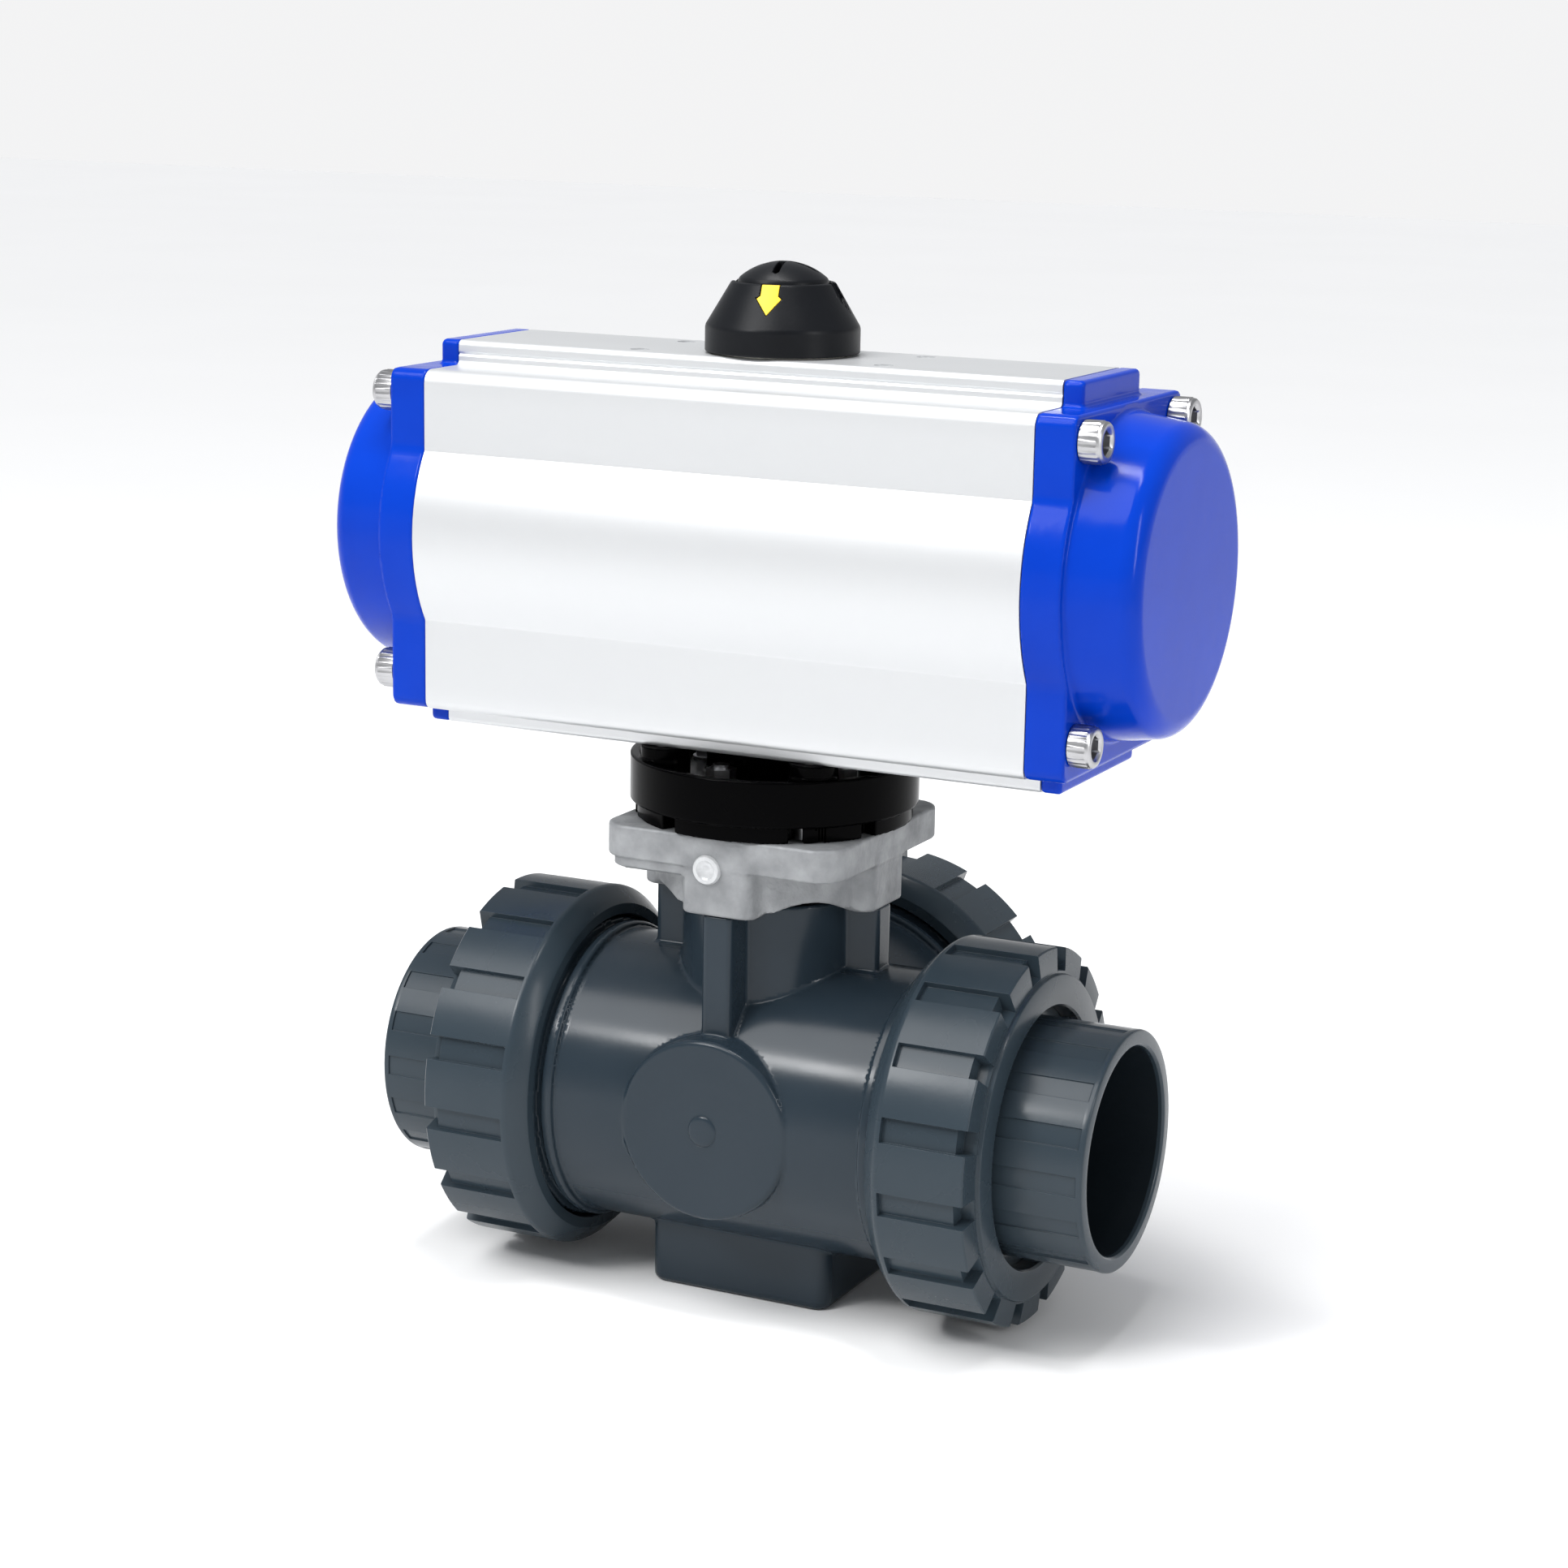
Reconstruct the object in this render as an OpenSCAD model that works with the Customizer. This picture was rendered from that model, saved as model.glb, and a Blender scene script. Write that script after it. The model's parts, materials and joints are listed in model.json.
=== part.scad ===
// Rotary rack-and-pinion actuator mounted on a three-way true-union ball valve.
// Units are mm. Z is up and runs through the pinion, the coupling and the valve stem,
// X runs along the actuator bore, Z = 0 is the underside of the valve foot.

/* [Show] */
// Which sub-part to draw

/* [Actuator] */
// Half length of the extruded body
body_hl = 98.4; // [98:0.2:99]
// Body height over both rails
body_h = 117; // [116:0.5:118]
// Half width of the flat sides
side_hw = 42.3; // [42:0.1:43]
// Radius of the bulged sides about the bore axis
bulge_r = 49.5; // [49.2:0.1:50]
// Half width of the top rail
top_rail_hw = 22.5; // [22:0.5:24]
// Half width of the bottom rail
bottom_rail_hw = 29; // [29:0.5:31]
// Distance of the air-port band face from the bore axis
band_y = 58.5; // [58:0.5:60]
// Thickness of the end cap flange
flange_t = 12.2; // [11.8:0.1:12.4]
// Length of the domed part of the end cap
dome_l = 20.4; // [20:0.2:21]

/* [Indicator] */
// Skirt radius of the position indicator
ind_r = 23.1; // [22.8:0.1:23.4]
// Width of the arrow shaft
arrow_w = 5.2; // [4.6:0.1:5.4]

/* [Mounting] */
// Radius of the adaptor disc
disc_r = 43.8; // [43:0.2:45]
// Half side of the bracket plate
plate_hs = 39.5; // [39:0.5:40.5]
// Corner radius of the bracket plate
plate_cr = 9; // [8:0.5:10]

/* [Valve] */
// Outside radius of the valve body run
run_r = 45; // [44.6:0.1:45.4]
// Radius of the neck column under the bracket
neck_r = 27.5; // [27:0.1:27.8]
// Radius over the grip blocks of a union nut
nut_r = 57.5; // [57:0.1:58]
// Number of grip slots in a union nut
nut_slots = 16; // [12:4:20]
// Outside radius of an end connector
conn_r = 36.5; // [36:0.1:37]
// Radius of the solvent socket for the pipe
socket_r = 31.5; // [31.4:0.05:31.6]
// Distance of an end connector face from the stem axis
face_x = 118.5; // [118:0.5:120]

/* [Hidden] */
act_z0 = 172.8;                 // underside of the actuator
act_z1 = act_z0 + body_h;       // top of the actuator
bore_z = 232.3;                 // actuator bore axis
bore_r = 46;
flat_lo = 178.85 - bore_z;
flat_hi = 282.3 - bore_z;
cap_x = body_hl + flange_t;     // outer face of the cap flange
screw_y = 35.5;
screw_dz = [42.5, -43];
screw_head_h = 8;
rail_cap_t = 6.4;
dome_r0 = 46.5;
dome_r1 = 44.2;
spring_x = body_hl + 26.6;      // inner end of the cap, where the springs rest
gear_m = 2;
gear_z = 20;
gear_rp = gear_m * gear_z / 2;
gear_z0 = 211.5;
gear_z1 = 253.5;
cam_z0 = 257;
cam_z1 = 266;
cam_lim = 8;
stop_x = 20;
stop_z = (cam_z0 + cam_z1) / 2;
arm_lo = 211 - bore_z;
arm_hi = 254 - bore_z;
crown_x0 = 48;
crown_x1 = 62;
flange_pcr = 35;                // 70 mm flange circle, four M8
run_z = 60.5;                   // valve run axis
run_bore = 37.1;
ball_r = 36.5;
port_r = 22;
seat_ri = 22.6;                 // four equal seats that clear each other round the ball
seat_ro = 26.4;
seat_x0 = 26.6;
seat_x1 = 31;
col_pr = 33.7;                  // circle of the four screw columns
plate_z0 = 139.8;
plate_z1 = 149.9;
pad_z0 = 125.5;
floor_z = 156;
dish_z = 163.2;                 // floor of the dish in the adaptor disc
rim_z = 168.8;
hub_r = 20.9;
stud_pcr = 26;
stud_a = -12;
neck_z = 127;
nut_x0 = 56.6;
nut_x1 = 92.2;
rear_more = 8;                  // extra length of the rear neck
fn = 96;

// ---------- helpers ----------

// Rectangle from corner to corner with rounded corners.
module rrect(x0, y0, x1, y1, r) {
  translate([x0 + r, y0]) square([x1 - x0 - 2 * r, y1 - y0]);
  translate([x0, y0 + r]) square([x1 - x0, y1 - y0 - 2 * r]);
  for (x = [x0 + r, x1 - r], y = [y0 + r, y1 - r]) translate([x, y]) circle(r, $fn = 48);
}

// Draws a profile of the actuator section (u = Y, v = Z from the bore axis) along X.
module along_x(x0, x1) {
  translate([x0, 0, bore_z]) rotate([90, 0, 90]) linear_extrude(x1 - x0) children();
}

module cyl_x(r, x0, x1, y = 0, z = bore_z) {
  translate([x0, y, z]) rotate([0, 90, 0]) cylinder(r = r, h = x1 - x0, $fn = fn);
}

module cyl_y(r, y0, y1, x = 0, z = bore_z) {
  translate([x, y0, z]) rotate([-90, 0, 0]) cylinder(r = r, h = y1 - y0, $fn = fn);
}

module cyl_z(r, z0, z1, x = 0, y = 0) {
  translate([x, y, z0]) cylinder(r = r, h = z1 - z0, $fn = fn);
}

module tube_z(ro, ri, z0, z1) {
  difference() {
    cyl_z(ro, z0, z1);
    cyl_z(ri, z0 - 1, z1 + 1);
  }
}

module torus(mean_r, wire_r) {
  rotate_extrude($fn = fn) translate([mean_r, 0]) circle(wire_r, $fn = 24);
}

module turn4(a0 = 0) {
  for (k = [0 : 3]) rotate([0, 0, a0 + 90 * k]) children();
}

// Revolves a list of [distance along X, radius] points about an X axis.
module lathe_x(points) {
  rotate([0, 90, 0]) rotate_extrude($fn = fn) polygon([for (p = points) [p[1], p[0]]]);
}

function arc(cx, cy, r, a0, a1, n) =
  [for (i = [0 : n]) let (a = a0 + (a1 - a0) * i / n) [cx + r * cos(a), cy + r * sin(a)]];

// Places a valve branch: drawn along +X, turned to its side of the body.
module branch(a) {
  translate([0, 0, run_z]) rotate([0, 0, a]) children();
}

// ---------- actuator section ----------

module section() {
  rrect(-side_hw, flat_lo, side_hw, flat_hi, 4);
  circle(bulge_r, $fn = fn);
  rrect(30, -24, band_y, 24, 2.5);
  rrect(-top_rail_hw, 30, top_rail_hw, act_z1 - bore_z, 1.6);
  rrect(-bottom_rail_hw, act_z0 - bore_z, bottom_rail_hw, -30, 2);
}

module flange_section() {
  rrect(-side_hw, flat_lo, side_hw, flat_hi, 4);
  circle(bulge_r, $fn = fn);
  rrect(30, -24, band_y, 24, 2.5);
}

module cap_screw_places(x) {
  for (y = [-screw_y, screw_y], dz = screw_dz) translate([x, y, bore_z + dz]) children();
}

module cap_screw_holes(x0, x1, r) {
  cap_screw_places(x0) rotate([0, 90, 0]) cylinder(r = r, h = x1 - x0, $fn = 32);
}

module actuator_body() {
  color("#e4e6e8") difference() {
    along_x(-body_hl, body_hl) difference() {
      section();
      circle(bore_r, $fn = fn);
    }
    // pinion passages
    cyl_z(24, act_z0 - 1, 181.5);
    cyl_z(22.6, 181, 200);
    cyl_z(15.3, 270, act_z1 + 1);
    cyl_z(17, 283.4, act_z1 + 1);
    // accessory holes on the top rail, 80 x 30
    for (x = [-40, 40], y = [-15, 15]) cyl_z(2.1, act_z1 - 9, act_z1 + 1, x, y);
    // flange circle underneath, four M8
    turn4(45) cyl_z(3.4, act_z0 - 1, act_z0 + 12.5, flange_pcr, 0);
    // cap screws
    cap_screw_holes(-body_hl - 1, -body_hl + 15, 4.1);
    cap_screw_holes(body_hl - 15, body_hl + 1, 4.1);
    // stop bolts with flat seats
    for (x = [-stop_x, stop_x]) {
      cyl_y(4.1, 30, side_hw + 20, x, stop_z);
      cyl_y(10.5, side_hw, side_hw + 20, x, stop_z);
    }
    // air ports: the left one opens into the middle chamber, the right one into the channel
    cyl_y(4.2, 40, band_y, -12);
    cyl_y(5.8, 48.5, band_y + 1, -12);
    cyl_y(5.8, 49.9, band_y + 1, 12);
    for (x = [-16, 16], dz = [-12, 12]) cyl_y(2.1, band_y - 8, band_y + 1, x, bore_z + dz);
    cyl_x(2, -body_hl - 1, body_hl + 1, 51, bore_z - 19);
    cyl_z(1.7, bore_z - 19, bore_z - 3, 8, 52.4);
  }
}

// ---------- end caps (drawn for +X, mirrored for -X) ----------

module sided(s) {
  if (s > 0) children();
  else mirror([1, 0, 0]) children();
}

module end_cap() {
  color("#0a3cdc") difference() {
    union() {
      along_x(body_hl, cap_x) flange_section();
      along_x(body_hl, body_hl + rail_cap_t) {
        rrect(-top_rail_hw, 30, top_rail_hw, act_z1 - bore_z, 1.6);
        rrect(-bottom_rail_hw, act_z0 - bore_z, bottom_rail_hw, -30, 2);
      }
      translate([0, 0, bore_z]) lathe_x(concat(
        [[cap_x - 4, 0], [cap_x - 4, 48.6], [cap_x, 48.2], [cap_x + 1.4, 46.9]],
        [for (p = arc(cap_x + dome_l - 6.5, dome_r1 - 6.5, 6.5, 82, 0, 5)) p],
        [[cap_x + dome_l, 0]]));
      // spigot in the bore
      cyl_x(45.9, body_hl - 3.9, body_hl + 1);
    }
    // spring chamber and O-ring groove
    cyl_x(39, body_hl - 5, spring_x);
    translate([body_hl - 1.9, 0, bore_z]) rotate([0, 90, 0]) difference() {
      cylinder(r = 47, h = 2.9, center = true, $fn = fn);
      cylinder(r = 43.5, h = 4, center = true, $fn = fn);
    }
    // air slot from the channel to the chamber
    translate([body_hl - 1, 30, bore_z - 21]) cube([3, 23, 4]);
    cap_screw_holes(body_hl - 1, cap_x + 1, 4.2);
  }
}

module cap_screws() {
  color("#b9bdc2") cap_screw_places(cap_x) rotate([0, 90, 0]) difference() {
    union() {
      translate([0, 0, -22]) cylinder(r = 4, h = 23, $fn = 32);
      cylinder(r = 6.5, h = screw_head_h - 0.7, $fn = 40);
      cylinder(r = 5.9, h = screw_head_h, $fn = 40);
    }
    translate([0, 0, screw_head_h - 4]) cylinder(r = 3.46, h = 5, $fn = 6);
  }
}

module cap_seal() {
  color("#1a1a1c") translate([body_hl - 1.9, 0, bore_z]) rotate([0, 90, 0]) torus(44.72, 1.2);
}

module end_cap_left() { sided(-1) end_cap(); }
module end_cap_right() { sided(1) end_cap(); }
module cap_screws_left() { sided(-1) cap_screws(); }
module cap_screws_right() { sided(1) cap_screws(); }
module cap_seal_left() { sided(-1) cap_seal(); }
module cap_seal_right() { sided(1) cap_seal(); }

// ---------- pistons: the right one has its rack on -Y, the left one on +Y ----------

rack_p = PI * gear_m;
rack_tip = rack_p / 4 - gear_m * tan(20) - 0.11;
rack_root = rack_p / 4 + 1.25 * gear_m * tan(20) - 0.11;

module rack_teeth() {
  translate([0, -gear_rp, arm_lo + bore_z]) linear_extrude(arm_hi - arm_lo)
    for (k = [-7 : 1]) translate([(k + 0.5) * rack_p, 0])
      polygon([[-rack_root - 0.1, -gear_m * 1.4], [-rack_root, -gear_m * 1.25],
        [-rack_tip, gear_m], [rack_tip, gear_m], [rack_root, -gear_m * 1.25],
        [rack_root + 0.1, -gear_m * 1.4]]);
}

module piston() {
  color("#c9ccd0") {
    difference() {
      cyl_x(45.6, crown_x0, crown_x1);
      cyl_x(35, crown_x1 - 5, crown_x1 + 1);
      for (g = [[50, 4.2, 44], [57.6, 3.2, 43.2]])
        translate([g[0], 0, bore_z]) rotate([0, 90, 0]) difference() {
          cylinder(r = 47, h = g[1], $fn = fn);
          translate([0, 0, -1]) cylinder(r = g[2], h = g[1] + 2, $fn = fn);
        }
    }
    difference() {
      along_x(-41, crown_x0) intersection() {
        circle(45.4, $fn = fn);
        translate([-46, arm_lo]) square([46 - gear_rp - gear_m * 1.25, arm_hi - arm_lo]);
      }
      // pocket for the guide pad behind the rack
      along_x(-37, 7) difference() {
        translate([-48, -12]) square([8, 24]);
        circle(43.4, $fn = fn);
      }
    }
    rack_teeth();
    // spring centring boss
    cyl_x(14, crown_x1 - 6, crown_x1);
  }
}

module piston_seal() {
  color("#1a1a1c") translate([59.2, 0, bore_z]) rotate([0, 90, 0]) torus(44.55, 1.3);
}

module guide_band() {
  color("#e8e4d6") translate([50.2, 0, bore_z]) rotate([0, 90, 0]) difference() {
    cylinder(r = 45.93, h = 3.8, $fn = fn);
    translate([0, 0, -1]) cylinder(r = 44.1, h = 6, $fn = fn);
  }
}

module guide_pad() {
  color("#e8e4d6") along_x(-36.8, 6.8) intersection() {
    difference() {
      circle(45.93, $fn = fn);
      circle(43.5, $fn = fn);
    }
    translate([-48, -11.8]) square([12, 23.6]);
  }
}

module turned(s) {
  if (s > 0) children();
  else rotate([0, 0, 180]) children();
}

module piston_right() { turned(1) piston(); }
module piston_left() { turned(-1) piston(); }
module piston_seal_right() { turned(1) piston_seal(); }
module piston_seal_left() { turned(-1) piston_seal(); }
module guide_band_right() { turned(1) guide_band(); }
module guide_band_left() { turned(-1) guide_band(); }
module guide_pad_right() { turned(1) guide_pad(); }
module guide_pad_left() { turned(-1) guide_pad(); }

// ---------- return springs: two nested coils between piston and cap ----------

module coil(mean_r, wire_r, turns, x0, x1, seg, sides) {
  n = turns * seg;
  pts = [for (i = [0 : n]) for (j = [0 : sides - 1])
    let (a = 360 * i / seg, b = 360 * j / sides, rr = mean_r + wire_r * cos(b))
    [x0 + wire_r + (x1 - x0 - 2 * wire_r) * i / n + wire_r * sin(b), rr * cos(a), rr * sin(a)]];
  faces = concat(
    [[for (j = [0 : sides - 1]) j]],
    [for (i = [0 : n - 1]) for (j = [0 : sides - 1])
      [i * sides + j, (i + 1) * sides + j, (i + 1) * sides + (j + 1) % sides,
       i * sides + (j + 1) % sides]],
    [[for (j = [sides - 1 : -1 : 0]) n * sides + j]]);
  translate([0, 0, bore_z]) polyhedron(pts, faces, convexity = 12);
}

module springs() {
  color("#7d8186") {
    coil(28.5, 2.1, 6, crown_x1 - 4.9, spring_x - 0.1, 20, 6);
    coil(19.5, 1.5, 8, crown_x1 - 4.9, spring_x - 0.1, 16, 6);
  }
}

module spring_right() { turned(1) springs(); }
module spring_left() { turned(-1) springs(); }

// ---------- pinion and stops ----------

gear_rb = gear_rp * cos(20);
gear_tip = gear_rp + gear_m * 0.9;
gear_root = gear_rp - gear_m * 1.3;
function inv(a) = tan(a) * 180 / PI - a;
function flank(r) = 90 / gear_z - 0.3 + inv(20) - inv(acos(min(1, gear_rb / r)));

module gear_section() {
  radii = [gear_root, gear_rb + 0.01, gear_rp * 0.97, gear_rp, gear_rp * 1.04, gear_tip];
  polygon([for (k = [0 : gear_z - 1]) each concat(
    [for (r = radii) let (a = 360 / gear_z * k - flank(r)) [r * cos(a), r * sin(a)]],
    [for (i = [5 : -1 : 0]) let (r = radii[i], a = 360 / gear_z * k + flank(r))
      [r * cos(a), r * sin(a)]])]);
}

module pinion() {
  color("#9aa0a6") difference() {
    union() {
      cyl_z(22.3, act_z0 + 2.8, 188);
      cyl_z(17, 188, gear_z0);
      translate([0, 0, gear_z0]) linear_extrude(gear_z1 - gear_z0) gear_section();
      cyl_z(17.3, gear_z1, cam_z0 - 0.1);
      cyl_z(15, cam_z0 - 0.1, act_z1 + 3.7);
      intersection() {
        cyl_z(9, act_z1 + 3.7, 306);
        translate([-7, -10, 290]) cube([14, 20, 20]);
      }
    }
    translate([0, 0, 182.3]) tube_ring(19.3, 23, 3.4);
    translate([0, 0, 279.5]) tube_ring(12.2, 16, 3.1);
    translate([0, 0, 291.3]) tube_ring(13.4, 16, 1.3);
    // output square, 17 mm
    translate([-8.6, -8.6, act_z0]) cube([17.2, 17.2, 22]);
    cyl_z(2.5, 288, 310);
  }
}

module tube_ring(ri, ro, h) {
  difference() {
    cylinder(r = ro, h = h, $fn = fn);
    translate([0, 0, -1]) cylinder(r = ri, h = h + 2, $fn = fn);
  }
}

module stop_cam() {
  color("#84888d") translate([0, 0, cam_z0]) linear_extrude(cam_z1 - cam_z0) difference() {
    union() {
      circle(17.4, $fn = fn);
      intersection() {
        circle(27, $fn = fn);
        translate([-40, -40]) square(40 + cam_lim);
      }
    }
    circle(15.05, $fn = fn);
  }
}

module stop_bolts() {
  color("#b9bdc2") for (x = [-stop_x, stop_x]) difference() {
    cyl_y(4, cam_lim + 0.3, 56, x, stop_z);
    translate([x, 52.5, stop_z]) rotate([-90, 0, 0]) cylinder(r = 2.3, h = 5, $fn = 6);
  }
}

module stop_nuts() {
  color("#b9bdc2") for (x = [-stop_x, stop_x]) difference() {
    translate([x, side_hw, stop_z]) rotate([-90, 0, 0]) {
      cylinder(r = 8.4, h = 1.2, $fn = 48);
      cylinder(r = 7.5, h = 7.7, $fn = 6);
    }
    cyl_y(4.1, side_hw - 1, 60, x, stop_z);
  }
}

module pinion_bearing_bottom() {
  color("#e8e4d6") tube_z(23.95, 22.36, act_z0 + 3, 181.4);
}

module pinion_bearing_top() {
  color("#e8e4d6") tube_z(16.95, 15.06, 283.5, act_z1 - 0.4);
}

module pinion_seal_bottom() {
  color("#1a1a1c") translate([0, 0, 184]) torus(20.98, 1.56);
}

module pinion_seal_top() {
  color("#1a1a1c") translate([0, 0, 281.05]) torus(13.75, 1.4);
}

module thrust_washer() {
  color("#e8e4d6") tube_z(20.5, 15.3, act_z1 + 0.1, act_z1 + 1.3);
}

module snap_ring() {
  color("#6f7377") difference() {
    tube_z(17.2, 13.5, 291.35, 292.55);
    translate([8, -2, 290]) cube([12, 4, 4]);
  }
}

// ---------- position indicator ----------

ind_z0 = act_z1 + 0.5;
ind_z1 = 297.9;
ind_z2 = 311;
ind_r2 = 15.4;
cone_tilt = atan2(ind_z2 - ind_z1, ind_r - ind_r2);
// How far the indicator is turned on its shaft when the valve is at rest
ind_turn = 12;

// Puts a shape on the cone: local Z is the outward normal, local X runs down the slope.
module on_cone(a) {
  rotate([0, 0, a]) translate([(ind_r + ind_r2) / 2, 0, (ind_z1 + ind_z2) / 2])
    rotate([0, cone_tilt, 0]) children();
}

module arrow_shape(w, grow) {
  head = w / 2 + 1.1 + grow;
  polygon([[-7 - grow, -w / 2 - grow], [-3.2 - grow, -w / 2 - grow],
    [-3.2 - grow, -head], [2.35 + grow, 0], [-3.2 - grow, head],
    [-3.2 - grow, w / 2 + grow], [-7 - grow, w / 2 + grow]]);
}

module indicator_cone() {
  color("#16181b") difference() {
    union() {
      cyl_z(ind_r, ind_z0, ind_z1);
      translate([0, 0, ind_z1])
        cylinder(r1 = ind_r, r2 = ind_r2, h = ind_z2 - ind_z1, $fn = fn);
    }
    cyl_z(20.9, ind_z0 - 1, 294.5);
    cyl_z(14, 307.6, ind_z2 + 1);
    cyl_z(2.7, 300, 309);
    intersection() {
      cyl_z(9.05, 290, 306.2);
      translate([-7.05, -10, 289]) cube([14.1, 20, 24]);
    }
    // arrow windows: the front one carries the insert
    on_cone(ind_turn - 90) translate([0, 0, -1.2]) linear_extrude(4) arrow_shape(arrow_w, 0.1);
    for (a = [0, 90, 180]) on_cone(ind_turn + a) translate([0, 0, -0.8]) linear_extrude(4)
      arrow_shape(arrow_w, 0);
  }
}

module indicator_arrow() {
  color("#ffdc3c") intersection() {
    on_cone(ind_turn - 90) translate([0, 0, -1.1]) linear_extrude(3) arrow_shape(arrow_w, 0);
    translate([0, 0, ind_z1 - 2]) cylinder(r1 = ind_r + 1.1, r2 = ind_r2 - 0.06,
      h = ind_z2 - ind_z1 + 2, $fn = fn);
  }
}

lid_r = 13.6;
lid_h = 5.4;
lid_sr = (lid_r * lid_r + lid_h * lid_h) / (2 * lid_h);

module indicator_lid() {
  color("#16181b") rotate([0, 0, ind_turn]) difference() {
    union() {
      cyl_z(lid_r, 307.8, 311.6);
      intersection() {
        translate([0, 0, 311.6 + lid_h - lid_sr]) sphere(lid_sr, $fn = fn);
        cyl_z(lid_r, 311, 320);
      }
    }
    cyl_z(6.2, 307, 310.4);
    // four radial grooves in the dome
    turn4() translate([2.6, 0, 313.4]) {
      translate([0, -0.8, 0]) cube([6.6, 1.6, 6]);
      translate([6.6, 0, 0]) cylinder(r = 0.8, h = 6, $fn = 24);
      cylinder(r = 0.8, h = 6, $fn = 24);
    }
  }
}

module indicator_screw() {
  color("#202226") difference() {
    union() {
      cyl_z(2.4, 292, 308);
      cyl_z(5.4, 307.6, 310);
    }
    translate([0, 0, 308.4]) cylinder(r = 2.3, h = 3, $fn = 6);
  }
}

// ---------- mounting parts ----------

module adaptor_disc() {
  color("#08080a") difference() {
    union() {
      cyl_z(disc_r, floor_z, rim_z);
      cyl_z(hub_r, floor_z, act_z0 + 2);
      turn4(45) cyl_z(7.4, floor_z, act_z0, flange_pcr, 0);
      tube_z(42.6, 34, plate_z1, floor_z + 1);
    }
    difference() {
      cyl_z(disc_r - 3, dish_z, rim_z + 1);
      cyl_z(hub_r, dish_z - 1, rim_z + 2);
      turn4(45) cyl_z(7.4, dish_z - 1, rim_z + 2, flange_pcr, 0);
    }
    cyl_z(17.2, floor_z - 1, act_z0 + 5);
    turn4(45) {
      cyl_z(4.2, 150, 176, flange_pcr, 0);
      cyl_z(6.8, plate_z1 - 1, floor_z - 0.1, flange_pcr, 0);
    }
    turn4(stud_a) cyl_z(2.7, 150, 168, stud_pcr, 0);
    // side notches of the ring under the disc
    turn4(-55) translate([30, -2.4, plate_z1 - 1]) cube([14, 4.8, floor_z - plate_z1 + 1]);
    turn4(-22) translate([30, -3.2, plate_z1 - 1]) cube([14, 6.4, floor_z - plate_z1 + 1]);
  }
}

module flange_screws() {
  color("#b9bdc2") turn4(45) {
    difference() {
      cyl_z(6.5, 150.5, 155.8, flange_pcr, 0);
      translate([flange_pcr, 0, 150]) cylinder(r = 3.46, h = 3, $fn = 6);
    }
    cyl_z(3.3, 155.7, 184, flange_pcr, 0);
  }
}

module disc_studs() {
  color("#b9bdc2") turn4(stud_a) cyl_z(2.5, 140.5, dish_z + 5.9, stud_pcr, 0);
}

module disc_nuts() {
  color("#c6cacf") turn4(stud_a) difference() {
    union() {
      cyl_z(5, dish_z, dish_z + 0.8, stud_pcr, 0);
      translate([stud_pcr, 0, dish_z + 0.7]) rotate([0, 0, 12]) cylinder(r = 4.62, h = 4, $fn = 6);
    }
    cyl_z(2.55, dish_z - 1, dish_z + 6, stud_pcr, 0);
  }
}

module mounting_bracket() {
  color("#a5a8ac") difference() {
    union() {
      translate([0, 0, plate_z0]) linear_extrude(plate_z1 - plate_z0)
        rrect(-plate_hs, -plate_hs, plate_hs, plate_hs, plate_cr);
      // four legs
      turn4() translate([0, 0, pad_z0]) linear_extrude(plate_z0 - pad_z0 + 1)
        rrect(24, -12, 39, 12, 3.5);
      // web between the legs
      tube_z(36, 28.1, plate_z0 - 12.6, plate_z0 + 1);
      // cast stud boss on the front leg
      translate([-4, -38.4, 139.6]) rotate([90, 0, 0]) cylinder(r = 3.4, h = 1.6, $fn = 48);
    }
    cyl_z(28.1, pad_z0 - 1, plate_z0 - 0.8);
    cyl_z(17.6, plate_z0 - 2, plate_z1 + 1);
    turn4(stud_a) cyl_z(2.6, plate_z0 - 1, plate_z1 + 1, stud_pcr, 0);
    turn4() {
      cyl_z(3.2, pad_z0 - 1, plate_z1 + 1, col_pr, 0);
      cyl_z(5.3, 144.3, plate_z1 + 1, col_pr, 0);
    }
    // the web is arched between the legs
    turn4(45) translate([20, 0, plate_z0 - 31.8]) rotate([0, 90, 0])
      cylinder(r = 22, h = 24, $fn = 96);
  }
}

module bracket_screws() {
  color("#b9bdc2") turn4() difference() {
    union() {
      cyl_z(3, 108, 145, col_pr, 0);
      cyl_z(5, 144.4, 149.8, col_pr, 0);
    }
    translate([col_pr, 0, 147]) cylinder(r = 2.9, h = 4, $fn = 6);
  }
}

module drive_coupling() {
  color("#8b9096") difference() {
    union() {
      cyl_z(16.5, 129.8, act_z0 + 1.6);
      translate([-8.5, -8.5, act_z0]) cube([17, 17, 18]);
    }
    translate([-7.1, -7.1, 129]) cube([14.2, 14.2, 19]);
  }
}

// ---------- valve ----------

// One neck of the body: plain barrel, then the threaded end inside the union nut.
module valve_neck(r, more = 0) {
  rotate([0, 90, 0]) {
    cylinder(r = r, h = 57 + more, $fn = fn);
    translate([0, 0, 51.5 + more]) cylinder(r = 47.6, h = 28.5, $fn = fn);
  }
}

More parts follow.
